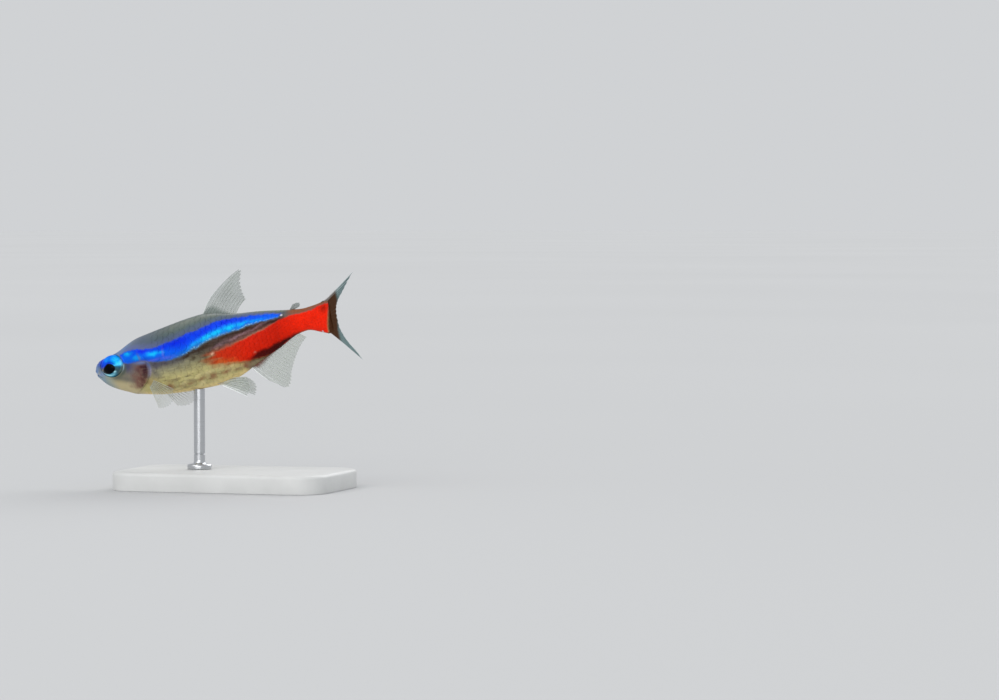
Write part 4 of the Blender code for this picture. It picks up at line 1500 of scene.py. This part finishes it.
@dataclass(frozen=True)
class EyeFinish:
    """A glossy eye: bright blue above and steel blue below, round a black pupil."""

    name: str = "eye"
    iris: tuple[tuple[float, Tone], ...] = (
        (0.0, (74, 202, 250)), (.05, (34, 180, 246)), (.14, (8, 164, 248)),
        (.25, (4, 122, 242)), (.33, (16, 136, 250)), (.38, (2, 88, 240)),
        (.475, (8, 58, 200)), (.52, (84, 94, 112)), (.57, (138, 166, 182)),
        (.63, (116, 166, 188)), (.68, (62, 160, 186)), (.74, (46, 150, 180)),
        (.80, (34, 112, 140)), (.845, (54, 86, 98)), (.90, (58, 92, 98)),
        (.95, (42, 98, 124)), (1.0, (74, 202, 250)))
    deep: Tone = (2, 58, 196)
    threads: Tone = (30, 96, 232)
    olive: Tone = (102, 120, 116)
    gleam: Tone = (176, 238, 250)
    tan: Tone = (128, 108, 86)
    rim: Tone = (60, 84, 140)
    pupil: Tone = (1, 1, 6)

    def material(self) -> Material:
        """Lay out the eye's material.

        Returns:
            The material.
        """
        n = Nodes(self.name)
        bearing = n.math("ARCTAN2", n.number("eye_up"), n.number("eye_rear"))
        turn = n.math("ADD", n.math("DIVIDE", bearing, 2 * pi), 1.0)
        pupil = n.number("pupil")
        colour = n.ramp(n.math("FRACT", turn, 0.0), self.iris)
        colour = n.mix(n.times(n.number("deep"), .95), colour, self.deep)
        threads = n.ramp(n.noise(3.0, 3.0), [(.44, 0.0), (.74, .35)])
        colour = n.mix(threads, colour, self.threads, "MULTIPLY")
        for mark, tone in (("olive", self.olive), ("gleam", self.gleam), ("tan", self.tan)):
            colour = n.mix(n.number(mark), colour, tone)
        edge = n.ramp(n.number("ring"), [(.96, 0.0), (.995, 1.0)])
        colour = n.mix(n.times(edge, .15), colour, self.rim)
        colour = n.mix(pupil, colour, self.pupil)
        metal = n.times(n.math("SUBTRACT", 1.0, pupil, clamp=True), .25)
        return n.finish(Base_Color=colour, Roughness=.30, Metallic=metal, IOR=1.2,
                        Specular_IOR_Level=.15, Coat_Weight=.22, Coat_Roughness=.09,
                        Coat_IOR=1.24, Normal=n.bump(n.noise(6.0, 3.0), .2, .00003))


@dataclass
class Eye:
    """One eyeball with its iris and domed pupil."""

    name: str
    side: int
    outline: Profile = curve(
        [(0, .655), (.20, .65), (.40, .635), (.60, .60), (.72, .56), (.86, .49),
         (1.0, .39), (1.10, .28), (1.17, .14), (1.195, 0)])
    radius: float = 1.195
    ball: float = 1.2
    depth: float = 0.68
    front_rings: int = 90
    back_rings: int = 18
    sides: int = 160
    pupil_centre: tuple[float, float] = (-.20, -.24)
    pupil_reach: Triple = (.64, .74, .56)
    pupil_skew: float = 0.28
    gleams: tuple[Patch, ...] = (
        Patch(.28, -.66, .14, .10, 1.1), Patch(.10, -.88, .18, .08, .45),
        Patch(1.02, .34, .09, .26, .35), Patch(1.06, -.14, .06, .12, .30))
    tan: Patch = Patch(-.93, -.24, .10, .10)
    lens: float = 0.17
    lens_radius: float = 0.64

    def build(self, material: Material) -> Piece:
        """Make the eyeball.

        Args:
            material: the eye's material.

        Returns:
            The eye's object.
        """
        socket = EyeSocket(self.side)
        back = np.linspace(self.radius - .005, .02, self.back_rings)
        radii = np.concatenate([np.linspace(0.0, self.radius, self.front_rings), back])
        angle = circle(self.sides)
        rear = radii[:, None] * np.cos(angle)[None, :]
        up = radii[:, None] * np.sin(angle)[None, :]
        away = np.hypot(rear - self.pupil_centre[0], up - self.pupil_centre[1])
        dome = self.lens * np.maximum(1 - (away / self.lens_radius) ** 2, 0.0) ** .7
        out = self.outline(radii)[:, None] + dome
        out[self.front_rings:] = -self.depth * np.sqrt(1 - (back[:, None] / self.ball) ** 2)
        rear_way, up_way, out_way = socket.axes()
        points = (socket.middle() + rear[..., None] * rear_way * socket.stretch
                  + up[..., None] * up_way + out[..., None] * out_way)
        faces = grid_faces(len(radii), self.sides, True)
        shape = Shape(self.name)
        numbers = {key: value * (out > -.01) for key, value in self.paint(rear, up).items()}
        shape.lay(points, faces[:, ::-1] if self.side > 0 else faces, eye_rear=rear, eye_up=up,
                  ring=np.broadcast_to(radii[:, None] / self.ball, rear.shape), **numbers)
        return shape.build(material)

    def paint(self, rear: Array, up: Array) -> dict[str, Array]:
        """Work out where the pupil and the iris's colours lie.

        Args:
            rear: distances to the rear of the eye's middle, in mm.
            up: distances above it, in mm.

        Returns:
            The numbers that the eye's material reads.
        """
        back = rear - self.pupil_centre[0]
        high = up - self.pupil_centre[1] - self.pupil_skew * np.minimum(back, 0.0)
        behind, before, tall = self.pupil_reach
        power = np.where(back > 0, 1.9, 1.22)
        reach = np.where(back > 0, behind, before)
        span = (np.abs(back) / reach) ** power + (np.abs(high) / tall) ** power
        away = (span ** (1 / power) - 1) * .5
        radius = np.hypot(rear, up)
        bearing = np.degrees(np.arctan2(up, rear)) % 360.0
        crescent = 1.1 * hump(1.0, .085, radius) * hump(247, 22, bearing)
        gleam = crescent + sum(spot.at(rear, up) for spot in self.gleams)
        pupil = ease(.022, -.022, away)
        deep = (hump(.04, .17, away) * ease(-.05, .25, up)
                * window(-.70, -.35, .25, .75, rear))
        return {"pupil": pupil, "gleam": np.clip(gleam, 0, 1) * (1 - pupil), "deep": deep,
                "olive": ease(.90, 1.05, radius) * hump(322, 28, bearing),
                "tan": self.tan.at(rear, up)}


# Fins

Rule = Callable[[Array, Array], Array]


@dataclass(frozen=True)
class FinFinish:
    """A thin see-through membrane with fine bony rays."""

    membrane: Tone
    ray: Tone
    root: Tone
    dusk: Tone
    cover: float
    white: Tone = (236, 240, 240)
    joint: Tone = (96, 98, 96)

    def material(self, name: str) -> Material:
        """Lay out the fin's material.

        Args:
            name: the fin's name.

        Returns:
            The material.
        """
        n = Nodes(name)
        ray, dusk, rooted, white = map(n.number, ("ray", "dusk", "rooted", "white"))
        speckle = n.noise(1.4, 3.0)
        colour: object = self.membrane
        for share, tone in ((n.ramp(speckle, [(.40, .0), (.75, .22)]), self.dusk),
                            (ray, self.ray), (dusk, self.dusk), (rooted, self.root),
                            (white, self.white), (n.times(n.number("joint"), .06), self.joint)):
            colour = n.mix(share, colour, tone)
        cover = n.scaled(ray, 1.0 - self.cover, self.cover)
        for share, strength in ((rooted, .55), (dusk, .30), (white, .5)):
            cover = n.math("ADD", cover, n.times(share, strength), clamp=True)
        return n.finish(Base_Color=colour, Roughness=n.scaled(speckle, .2, .25), IOR=1.28,
                        Alpha=cover, Specular_IOR_Level=.35, Coat_Weight=.12,
                        Coat_Roughness=.12, Coat_IOR=1.3,
                        Normal=n.bump(n.noise(3.0, 2.0), .10, .00002))


@dataclass
class Fin:
    """One fin: tapered, branching, jointed rays with a membrane between them."""

    name: str
    nodes: tuple[str, ...]
    rays: int
    rule: Rule
    finish: FinFinish
    flat: Triple = (0.0, 1.0, 0.0)
    ray_radius: float = 0.05
    lead_radius: float = 0.075
    ray_steps: int = 46
    ray_sides: int = 6
    joint_pace: float = 60.0
    branch_at: float = 0.45
    spread: float = 0.30
    sheet: float = 0.022
    sheet_rows: int = 40
    sheet_share: int = 8
    sway: float = 0.0
    lead_white: float = 0.0
    root_until: float = 0.30
    dusk: Callable[[Array, Array], Array] | None = None
    reach_in: float = 0.985
    flesh_until: float | None = None

    def place(self, across: Array, along: Array) -> Array:
        """Find a place on the fin, with a slight sway towards its tip.

        Args:
            across: from 0 at the front ray to 1 at the rear one.
            along: from 0 at the root to 1 at the tip.

        Returns:
            The place on the straight fish, in mm.
        """
        points = self.rule(across, along)
        wave = self.sway * along ** 2 * np.sin(2.2 * pi * across + .6)
        return points + wave[..., None] * np.array(self.flat)

    def numbers(self, across: Array, along: Array, ray: float) -> dict[str, Array]:
        """Work out what the fin's material reads.

        Args:
            across: from 0 at the front ray to 1 at the rear one.
            along: from 0 at the root to 1 at the tip.
            ray: 1 on a ray and 0 on the membrane.

        Returns:
            One array of numbers for each name.
        """
        dark = self.dusk(across, along) if self.dusk else np.zeros(across.shape)
        rooted = ease(self.root_until, self.root_until * .55, along)
        if self.flesh_until is not None:
            place = self.rule(across, along)
            limit = self.flesh_until + .25 * np.clip(place[..., 2], -1.6, 1.6)
            rooted = ease(limit + .22, limit - .28, place[..., 0] - FISH.length)
        return {"ray": np.full(across.shape, ray), "dusk": dark, "rooted": rooted,
                "white": np.zeros(across.shape), "joint": np.zeros(across.shape)}

    def add_ray(self, shape: Shape, across: float, radius: float, white: float) -> None:
        """Add a ray with its branches.

        Args:
            shape: the fin's mesh.
            across: which ray it is, from 0 at the front to 1 at the rear.
            radius: its radius at the root, in mm.
            white: how white it is.
        """
        gap = 1.0 / (self.rays - 1)
        along = np.linspace(0.0, .998, self.ray_steps)
        begin = int(self.ray_steps * (self.branch_at + .10))
        forked = across > .5 * gap and radius < self.lead_radius
        for way in (-1, 1) if forked else (0,):
            open_out = ease(self.branch_at, 1.05, along) * way * self.spread * gap
            start = begin if way == 1 else 0
            shown = along[start:]
            place_across = np.clip(across + open_out[start:], 0.0, 1.0)
            joints = (np.maximum(np.sin(shown * self.joint_pace), 0.0) ** 6
                      * ease(.25, .4, shown))
            thick = radius * (1 - .72 * shown ** 1.3) * (1 + .08 * joints)
            if way == 1:
                thick = thick * (.55 + .45 * ease(0.0, .12, shown - shown[0]))
            points, faces = tube(self.place(place_across, shown), thick, self.ray_sides,
                                 np.array(self.flat))
            ring = np.repeat([place_across, shown, joints], self.ray_sides, axis=1)
            numbers = self.numbers(ring[0], ring[1], 1.0)
            numbers["joint"] = ring[2]
            numbers["white"] = white * ease(.12, .3, ring[1])
            shape.lay(points, faces, **numbers)

    def add_membrane(self, shape: Shape) -> None:
        """Add the thin sheet, a little shorter between the rays.

        Args:
            shape: the fin's mesh.
        """
        columns = self.sheet_share * (self.rays - 1) + 1
        across, along = np.meshgrid(np.linspace(0.0, 1.0, columns),
                                    np.linspace(0.0, 1.0, self.sheet_rows))
        turn = 2 * pi * across * (self.rays - 1)
        reach = along * (self.reach_in - .035 * (0.5 - 0.5 * np.cos(turn)))
        points = self.place(across, reach)
        normal = unit(np.cross(np.gradient(points, axis=0), np.gradient(points, axis=1)))
        fold = .5 * self.sheet * np.sin(turn)
        half = self.sheet / 2 * np.minimum(1.0, (1 - along) * 12 + .15)
        both = np.stack([points + normal * (fold + way * half)[..., None] for way in (1, -1)])
        doubled = {key: np.tile(value.ravel(), 2)
                   for key, value in self.numbers(across, reach, 0.0).items()}
        shape.lay(both, sheet_faces(self.sheet_rows, columns), **doubled)

    def build(self) -> Piece:
        """Make the fin in one object.

        Returns:
            The fin's object.
        """
        shape = Shape(self.name)
        for index in range(self.rays):
            radius = self.ray_radius if index else self.lead_radius
            white = self.lead_white * {0: 1.0, 1: .6}.get(index, 0.0)
            self.add_ray(shape, index / (self.rays - 1), radius, white)
        self.add_membrane(shape)
        return shape.build(self.finish.material(self.name))


@dataclass
class MedianRule:
    """Rays that stand in the fish's middle plane."""

    base: tuple[float, float]
    line: Profile
    length: Profile
    lean: Profile
    bow: float = 0.0
    depth: float = 0.9

    def __call__(self, across: Array, along: Array) -> Array:
        """Find a place on the fin.

        Args:
            across: from 0 at the front ray to 1 at the rear one.
            along: from 0 at the root to 1 at the tip.

        Returns:
            The place on the straight fish, in mm.
        """
        station = self.base[0] + (self.base[1] - self.base[0]) * across
        way = np.radians(self.lean(across))
        full = self.length(across)
        run = -self.depth + along * (full + self.depth)
        share = np.maximum(run, 0.0) / full
        lift = 4 * self.bow * full * share * (1 - share)
        x = station * FISH.length + run * np.cos(way) - lift * np.sin(way)
        z = self.line(station) * FISH.length + run * np.sin(way) + lift * np.cos(way)
        return np.stack([x, np.zeros_like(x), z], axis=-1)


@dataclass
class TailRule:
    """Rays of the forked tail fin, from its upper edge round the fork to its lower edge."""

    upper: list[tuple[float, float, float]] = field(default_factory=lambda: [
        (0, 5.79, 3.97), (.15, 4.74, 3.24), (.35, 3.63, 2.37), (.58, 2.52, 1.49),
        (.78, 2.13, .92), (1, 1.98, .2)])
    lower: list[tuple[float, float, float]] = field(default_factory=lambda: [
        (0, 4.49, -5.25), (.15, 3.81, -4.29), (.35, 2.98, -3.30), (.58, 2.33, -2.23),
        (.8, 1.95, -1.08), (1, 1.9, -.25)])
    roots: tuple[float, float] = (1.74, -1.64)
    gap: float = 0.3
    start: float = -0.9
    flare: float = 1.05

    def __post_init__(self) -> None:
        """Join both lobes' tips into one run."""
        run = [(t * .5, x, z) for t, x, z in self.upper[:-1]]
        run += [(1 - t * .5, x, z) for t, x, z in reversed(self.lower[:-1])]
        run.insert(len(self.upper) - 1, (.5, 1.93, -.02))
        self.tip_x = Profile([(t, x) for t, x, z in run])
        self.tip_z = Profile([(t, z) for t, x, z in run])

    def __call__(self, across: Array, along: Array) -> Array:
        """Find a place on the fin.

        Args:
            across: from 0 at the upper edge to 1 at the lower one.
            along: from 0 at the root to 1 at the tip.

        Returns:
            The place on the straight fish, in mm.
        """
        root = self.roots[0] + (self.roots[1] - self.roots[0]) * across
        tip_x = self.tip_x(across)
        x = self.start + along * (tip_x - self.start)
        share = np.clip((x - self.gap) / (tip_x - self.gap), 0.0, 1.0)
        station = np.clip((FISH.length + x) / FISH.length, .9, 1.0)
        high = FISH.top(station) / FISH.top(1.0)
        low = FISH.bottom(station) / FISH.bottom(1.0)
        root = root * np.where(root > 0, high, low) * (1 - .12 * ease(0.0, -.5, x))
        z = root + (self.tip_z(across) - root) * share ** self.flare
        return np.stack([FISH.length + x, np.zeros_like(x), z], axis=-1)


@dataclass
class PairedRule:
    """Rays of a fin on one side of the fish."""

    side: int
    root: Triple
    way: Triple
    spread: Triple
    base: float
    length: Profile
    fan: tuple[float, float]
    depth: float = 0.9

    def __post_init__(self) -> None:
        """Work out the fin's own directions."""
        flip = np.array([1.0, self.side, 1.0])
        self.centre = np.array(self.root) * flip * FISH.length
        self.middle = unit(np.array(self.way) * flip)
        lift = np.array(self.spread) * flip
        self.lift = unit(lift - self.middle * (lift @ self.middle))
        self.flat = tuple(np.cross(self.middle, self.lift))

    def __call__(self, across: Array, along: Array) -> Array:
        """Find a place on the fin.

        Args:
            across: from 0 at the front ray to 1 at the rear one.
            along: from 0 at the root to 1 at the tip.

        Returns:
            The place on the straight fish, in mm.
        """
        turn = np.radians(self.fan[0] + (self.fan[1] - self.fan[0]) * across)
        run = -self.depth + along * (self.length(across) + self.depth)
        way = (self.middle * np.cos(turn)[..., None] + self.lift * np.sin(turn)[..., None])
        return (self.centre + self.lift * self.base * (across - 0.5)[..., None]
                + way * run[..., None])


@dataclass
class Fins:
    """All of the fish's fins."""

    def median(self) -> list[Fin]:
        """Describe the fins of the middle plane.

        Returns:
            The back fin, the small fleshy fin, the fin under the tail stem and the tail fin.
        """
        back = MedianRule((.480, .610), FISH.top,
                          Profile([(0, 3.0), (.1, 6.05), (.5, 4.12), (.75, 2.92), (1, 1.88)]),
                          Profile([(0, 47), (.1, 39.5), (.5, 41), (1, 42)]), .06)
        fleshy = MedianRule((.836, .858), FISH.top, Profile([(0, .68), (.5, 1.12), (1, .68)]),
                            Profile([(0, 44), (.5, 27), (1, 12)]), depth=.45)
        under = MedianRule((.631, .856), FISH.bottom,
                           Profile([(0, 2.2), (.08, 4.38), (.36, 3.08), (.7, 1.73), (1, .93)]),
                           Profile([(0, -48), (.1, -45.5), (.4, -43), (1, -34)]), -.02)
        return [
            Fin("fin_dorsal", ("dorsal_fin",), 11, back,
                FinFinish((150, 158, 154), (176, 182, 176), (128, 138, 134), (92, 98, 94), .34),
                sway=.12, lead_white=.6,
                dusk=lambda a, t: .22 * hump(.55, .20, t) * hump(.40, .30, a)),
            Fin("fin_adipose", ("adipose_fin",), 5, fleshy,
                FinFinish((150, 158, 156), (150, 158, 156), (150, 120, 100), (110, 112, 106),
                          .55),
                ray_radius=.02, lead_radius=.035, sheet=.10),
            Fin("fin_anal", ("anal_fin",), 20, under,
                FinFinish((158, 166, 158), (188, 194, 186), (116, 66, 48), (110, 116, 106), .28),
                sway=.10, lead_white=1.0, ray_radius=.042),
            Fin("fin_tail", ("caudal_lobe_upper", "caudal_lobe_lower"), 21, TailRule(),
                FinFinish((92, 118, 120), (128, 152, 152), (66, 38, 14), (76, 98, 100), .64),
                ray_radius=.046, lead_radius=.085, sheet=.03, sway=.05, branch_at=.40,
                flesh_until=2.05, lead_white=.5)]

    def paired(self, word: str, side: int) -> list[Fin]:
        """Describe the fins of one side.

        Args:
            word: the side's name.
            side: -1 for the left side and 1 for the right one.

        Returns:
            The fin behind the gill cover and the fin under the belly.
        """
        breast = PairedRule(side, (.236, .058, -.100), (2.5, 2.1, -2.7), (.55, .2, .8), .9,
                            Profile([(0, 2.95), (.35, 3.95), (.7, 4.45), (1, 4.25)]), (-19, 19))
        belly = PairedRule(side, (.512, .020, -.150), (2.9, .55, -1.85), (.5, -.35, .9), .8,
                           Profile([(0, 3.45), (.4, 3.35), (.8, 2.75), (1, 2.15)]), (0, 26))
        return [
            Fin("fin_pectoral_" + word, ("pectoral_fin_" + word,), 11, breast,
                FinFinish((146, 156, 154), (184, 186, 170), (166, 158, 138), (120, 128, 122),
                          .12),
                flat=breast.flat, ray_radius=.026, lead_radius=.042, sway=.10, root_until=.22),
            Fin("fin_pelvic_" + word, ("pelvic_fin_" + word,), 8, belly,
                FinFinish((156, 164, 158), (192, 198, 190), (168, 156, 128), (112, 120, 108),
                          .27),
                flat=belly.flat, ray_radius=.042, sway=.08, lead_white=1.0)]

    def build(self) -> list[tuple[Piece, tuple[str, ...]]]:
        """Make every fin, with the nodes that each stands for."""
        fins = self.median() + self.paired("left", -1) + self.paired("right", 1)
        return [(fin.build(), fin.nodes) for fin in fins]


# Stand

class Gloss(Enum):
    """The stand's two finishes."""

    LACQUER = "stand_base"
    STEEL = "stand_rod"


@dataclass(frozen=True)
class StandFinish:
    """A plain finish for one piece of the stand."""

    kind: Gloss
    lacquer: tuple[Tone, Tone] = ((203, 204, 203), (211, 212, 211))
    steel: tuple[Tone, Tone] = ((187, 189, 192), (197, 199, 202))

    def material(self) -> Material:
        """Lay out the material.

        Returns:
            The material.
        """
        n = Nodes(self.kind.value)
        place = n.own_place()
        if self.kind is Gloss.LACQUER:
            dim, bright = self.lacquer
            colour = n.ramp(n.noise(260.0, 4.0, place), [(.35, dim), (.70, bright)])
            rough = n.scaled(n.noise(2600.0, 3.0, place), .14, .42)
            peel = n.bump(n.noise(2400.0, 2.0, place), .10, .00004)
            return n.finish(Base_Color=colour, Roughness=rough, IOR=1.40, Coat_Weight=.10,
                            Coat_Roughness=.22, Normal=peel)
        dim, bright = self.steel
        marks = n.noise(900.0, 2.0, n.stretched(place, .02, .02, 14.0))
        return n.finish(Base_Color=n.ramp(marks, [(.30, dim), (.70, bright)]),
                        Roughness=n.scaled(marks, .04, .26), Metallic=1.0,
                        Normal=n.bump(marks, .01, .00001))


@dataclass
class Stand:
    """The display stand: a flat base and one turned rod up to the belly."""

    length: float = 24.0
    width: float = 15.0
    height: float = 2.0
    corner: float = 3.0
    edge: float = 0.4
    rod_radius: float = 0.6
    foot_radius: float = 1.3
    station: float = 0.40
    base_sides: int = 96
    rod_sides: int = 64

    def base(self) -> Piece:
        """Make the base with round corners and soft edges.

        Returns:
            The base.
        """
        angle = circle(self.base_sides)
        rings = [(self.corner, 0.0), (0.12, 0.0), (0.03, 0.03), (0.0, 0.12)]
        rings += [(self.edge * (1 - cos(t)), self.height - self.edge * (1 - sin(t)))
                  for t in np.linspace(0, pi / 2, 9)]
        rings += [(self.corner, self.height)]
        middle_x = np.sign(np.cos(angle)) * (self.length / 2 - self.corner)
        middle_y = np.sign(np.sin(angle)) * (self.width / 2 - self.corner)
        loops = []
        for inset, level in rings:
            radius = max(self.corner - inset, 0.02)
            loops.append(np.stack([middle_x + radius * np.cos(angle),
                                   middle_y + radius * np.sin(angle),
                                   np.full(self.base_sides, level)], axis=-1))
        return self.closed("base_plate", np.array(loops), Gloss.LACQUER)

    @staticmethod
    def closed(name: str, loops: Array, gloss: Gloss) -> Piece:
        """Join rings into a piece, and close its ends with flat faces.

        Args:
            name: the piece's name.
            loops: its rings in mm, of shape (rings, points, 3).
            gloss: its finish.

        Returns:
            The piece.
        """
        shape = Shape(name)
        shape.add(loops * MM, grid_faces(*loops.shape[:2], True))
        obj = shape.build(StandFinish(gloss).material())
        bm = bmesh.new()
        bm.from_mesh(obj.data)
        bmesh.ops.holes_fill(bm, edges=[e for e in bm.edges if len(e.link_faces) == 1], sides=0)
        bmesh.ops.recalc_face_normals(bm, faces=bm.faces)
        bm.to_mesh(obj.data)
        bm.free()
        obj.data.shade_smooth()
        obj.data.set_sharp_from_angle(angle=radians(50.0))
        return obj

    def rod(self) -> Piece:
        """Make the rod with its foot and a fine groove, up to the belly.

        Returns:
            The rod.
        """
        belly = float(FISH.bottom(self.station)) * FISH.length
        spot = FISH.world(np.array([[self.station * FISH.length, 0.0, belly]]))[0] / MM
        low, top = self.height, spot[2] + .10
        rod, foot = self.rod_radius, self.foot_radius
        outline = [(0.02, low), (foot - .06, low), (foot, low + .08), (foot, low + .42),
                   (foot - .10, low + .56), (rod + .16, low + .62), (rod + .04, low + .70),
                   (rod, low + .86), (rod, low + 1.6), (rod - .05, low + 1.64),
                   (rod - .05, low + 1.72), (rod, low + 1.76), (rod, top - .5), (rod, top),
                   (0.02, top)]
        fine = []
        for (r0, z0), (r1, z1) in zip(outline, outline[1:]):
            for share in np.linspace(0, 1, 4, endpoint=False):
                fine.append((r0 + (r1 - r0) * share, z0 + (z1 - z0) * share))
        fine.append(outline[-1])
        loops = np.array([[(spot[0] + r * cos(a), r * sin(a), z) for a in circle(self.rod_sides)]
                          for r, z in fine])
        return self.closed("turned_rod", loops, Gloss.STEEL)


# Studio

@dataclass
class Studio:
    """A plain pale floor, soft lights and the camera."""

    floor_radius: float = 9.0
    floor_rings: int = 60
    floor_sides: int = 96
    azimuth: float = radians(16.9)
    elevation: float = radians(2.0)
    distance: float = 0.40067
    lens: float = 135.0
    film: float = 36.0
    snout_pixel: tuple[float, float] = (96.5, 370.0)
    image: tuple[int, int] = (999, 700)

    def floor(self) -> None:
        """Make the floor."""
        radii = self.floor_radius * np.linspace(0.0, 1.0, self.floor_rings) ** 3 + .0005
        angle = circle(self.floor_sides)
        points = np.stack([radii[:, None] * np.cos(angle), radii[:, None] * np.sin(angle),
                           np.zeros((self.floor_rings, self.floor_sides))], axis=-1)
        shape = Shape("floor")
        shape.add(points, grid_faces(self.floor_rings, self.floor_sides, True))
        n = Nodes("floor")
        colour = n.ramp(n.noise(3.0, 2.0, n.own_place()), [(.3, (196, 197, 198)),
                                                           (.7, (199, 200, 201))])
        material = n.finish(Base_Color=colour, Roughness=1.0, Specular_IOR_Level=.0)
        shape.build(material)

    def lamp(self, name: str, way: Triple, strength: float, spread: float,
             tone: Triple = (1.0, 1.0, 1.0)) -> None:
        """Set one broad, distant lamp that lights everything alike.

        Args:
            name: its name.
            way: the direction from the fish to the lamp.
            strength: how much light it gives a surface that faces it.
            spread: how broad it looks, in degrees, which softens its shadows.
            tone: its colour.
        """
        data = bpy.data.lights.new(name, "SUN")
        data.energy = strength * pi
        data.angle = radians(spread)
        data.color = tone
        obj = bpy.data.objects.new(name, data)
        obj.rotation_euler = Vector(way).to_track_quat("Z", "Y").to_euler()
        bpy.context.scene.collection.objects.link(obj)

    def lights(self) -> None:
        """Set the lamps and the even light all round."""
        self.lamp("key", (-.35, -.62, .70), .26, 45.0, (1.0, .985, .96))
        self.lamp("front", (.12, -.98, .10), .46, 50.0, (1.0, .99, .98))
        self.lamp("rear", (.25, .80, .62), .40, 45.0)
        world = bpy.data.worlds.new("studio")
        world.use_nodes = True
        ground = world.node_tree.nodes["Background"]
        ground.inputs["Color"].default_value = (.955, .975, 1.0, 1.0)
        ground.inputs["Strength"].default_value = .66
        scene = bpy.context.scene
        scene.world = world
        scene.view_settings.view_transform = "Standard"

    def camera(self) -> None:
        """Stand the camera where the snout falls on its own pixel of the image."""
        a, e = self.azimuth, self.elevation
        back = Vector((sin(a) * cos(e), -cos(a) * cos(e), sin(e)))
        right = Vector((cos(a), sin(a), 0.0))
        up = back.cross(right)
        snout = Vector(FISH.world(np.zeros((1, 3)))[0])
        middle = snout + Vector((13.7, 0.0, 3.0)) * MM
        focal = self.image[0] * self.lens / self.film
        depth = self.distance + (middle - snout).dot(back)
        across = (self.snout_pixel[0] - self.image[0] / 2) / focal * depth
        above = -(self.snout_pixel[1] - self.image[1] / 2) / focal * depth
        data = bpy.data.cameras.new("camera")
        data.lens = self.lens
        data.sensor_width = self.film
        data.clip_start = 0.01
        data.clip_end = 20.0
        obj = bpy.data.objects.new("camera", data)
        spot = snout + back * depth - right * across - up * above
        turn = Matrix((right, up, back)).transposed().to_4x4()
        obj.matrix_world = Matrix.Translation(spot) @ turn
        bpy.context.scene.collection.objects.link(obj)
        bpy.context.scene.camera = obj


def main() -> None:
    """Build every piece in order and tie it to the model."""
    logging.basicConfig(level=logging.INFO, format="%(message)s")
    studio = Studio()
    studio.floor()
    studio.lights()
    studio.camera()
    LOG.info("studio ready")

    cover = SkinFinish("tetra_skin").material()
    skin = Skin()
    skin_object = skin.build(cover)
    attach(skin_object, "root")
    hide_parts("head", "trunk", "tail_stem")
    LOG.info("skin ready, %d faces", len(skin_object.data.polygons))
    for coat in Scales(skin).build(cover):
        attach(coat, "root")
        LOG.info("%s ready, %d faces", coat.name, len(coat.data.polygons))

    gaze = EyeFinish().material()
    for word, side in (("left", -1), ("right", 1)):
        eye = Eye("eyeball_" + word, side).build(gaze)
        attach(eye, "root")
        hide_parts("eye_" + word)
        LOG.info("%s eye ready", word)

    for fin, nodes in Fins().build():
        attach(fin, "root")
        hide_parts(*nodes)
        LOG.info("%s ready, %d faces", fin.name, len(fin.data.polygons))

    stand = Stand()
    for piece, node in ((stand.base(), "stand_base"), (stand.rod(), "stand_rod")):
        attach(piece, "root")
        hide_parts(node)
        LOG.info("%s ready", piece.name)

    LOG.info("boxes written")


if __name__ == "__main__":
    main()
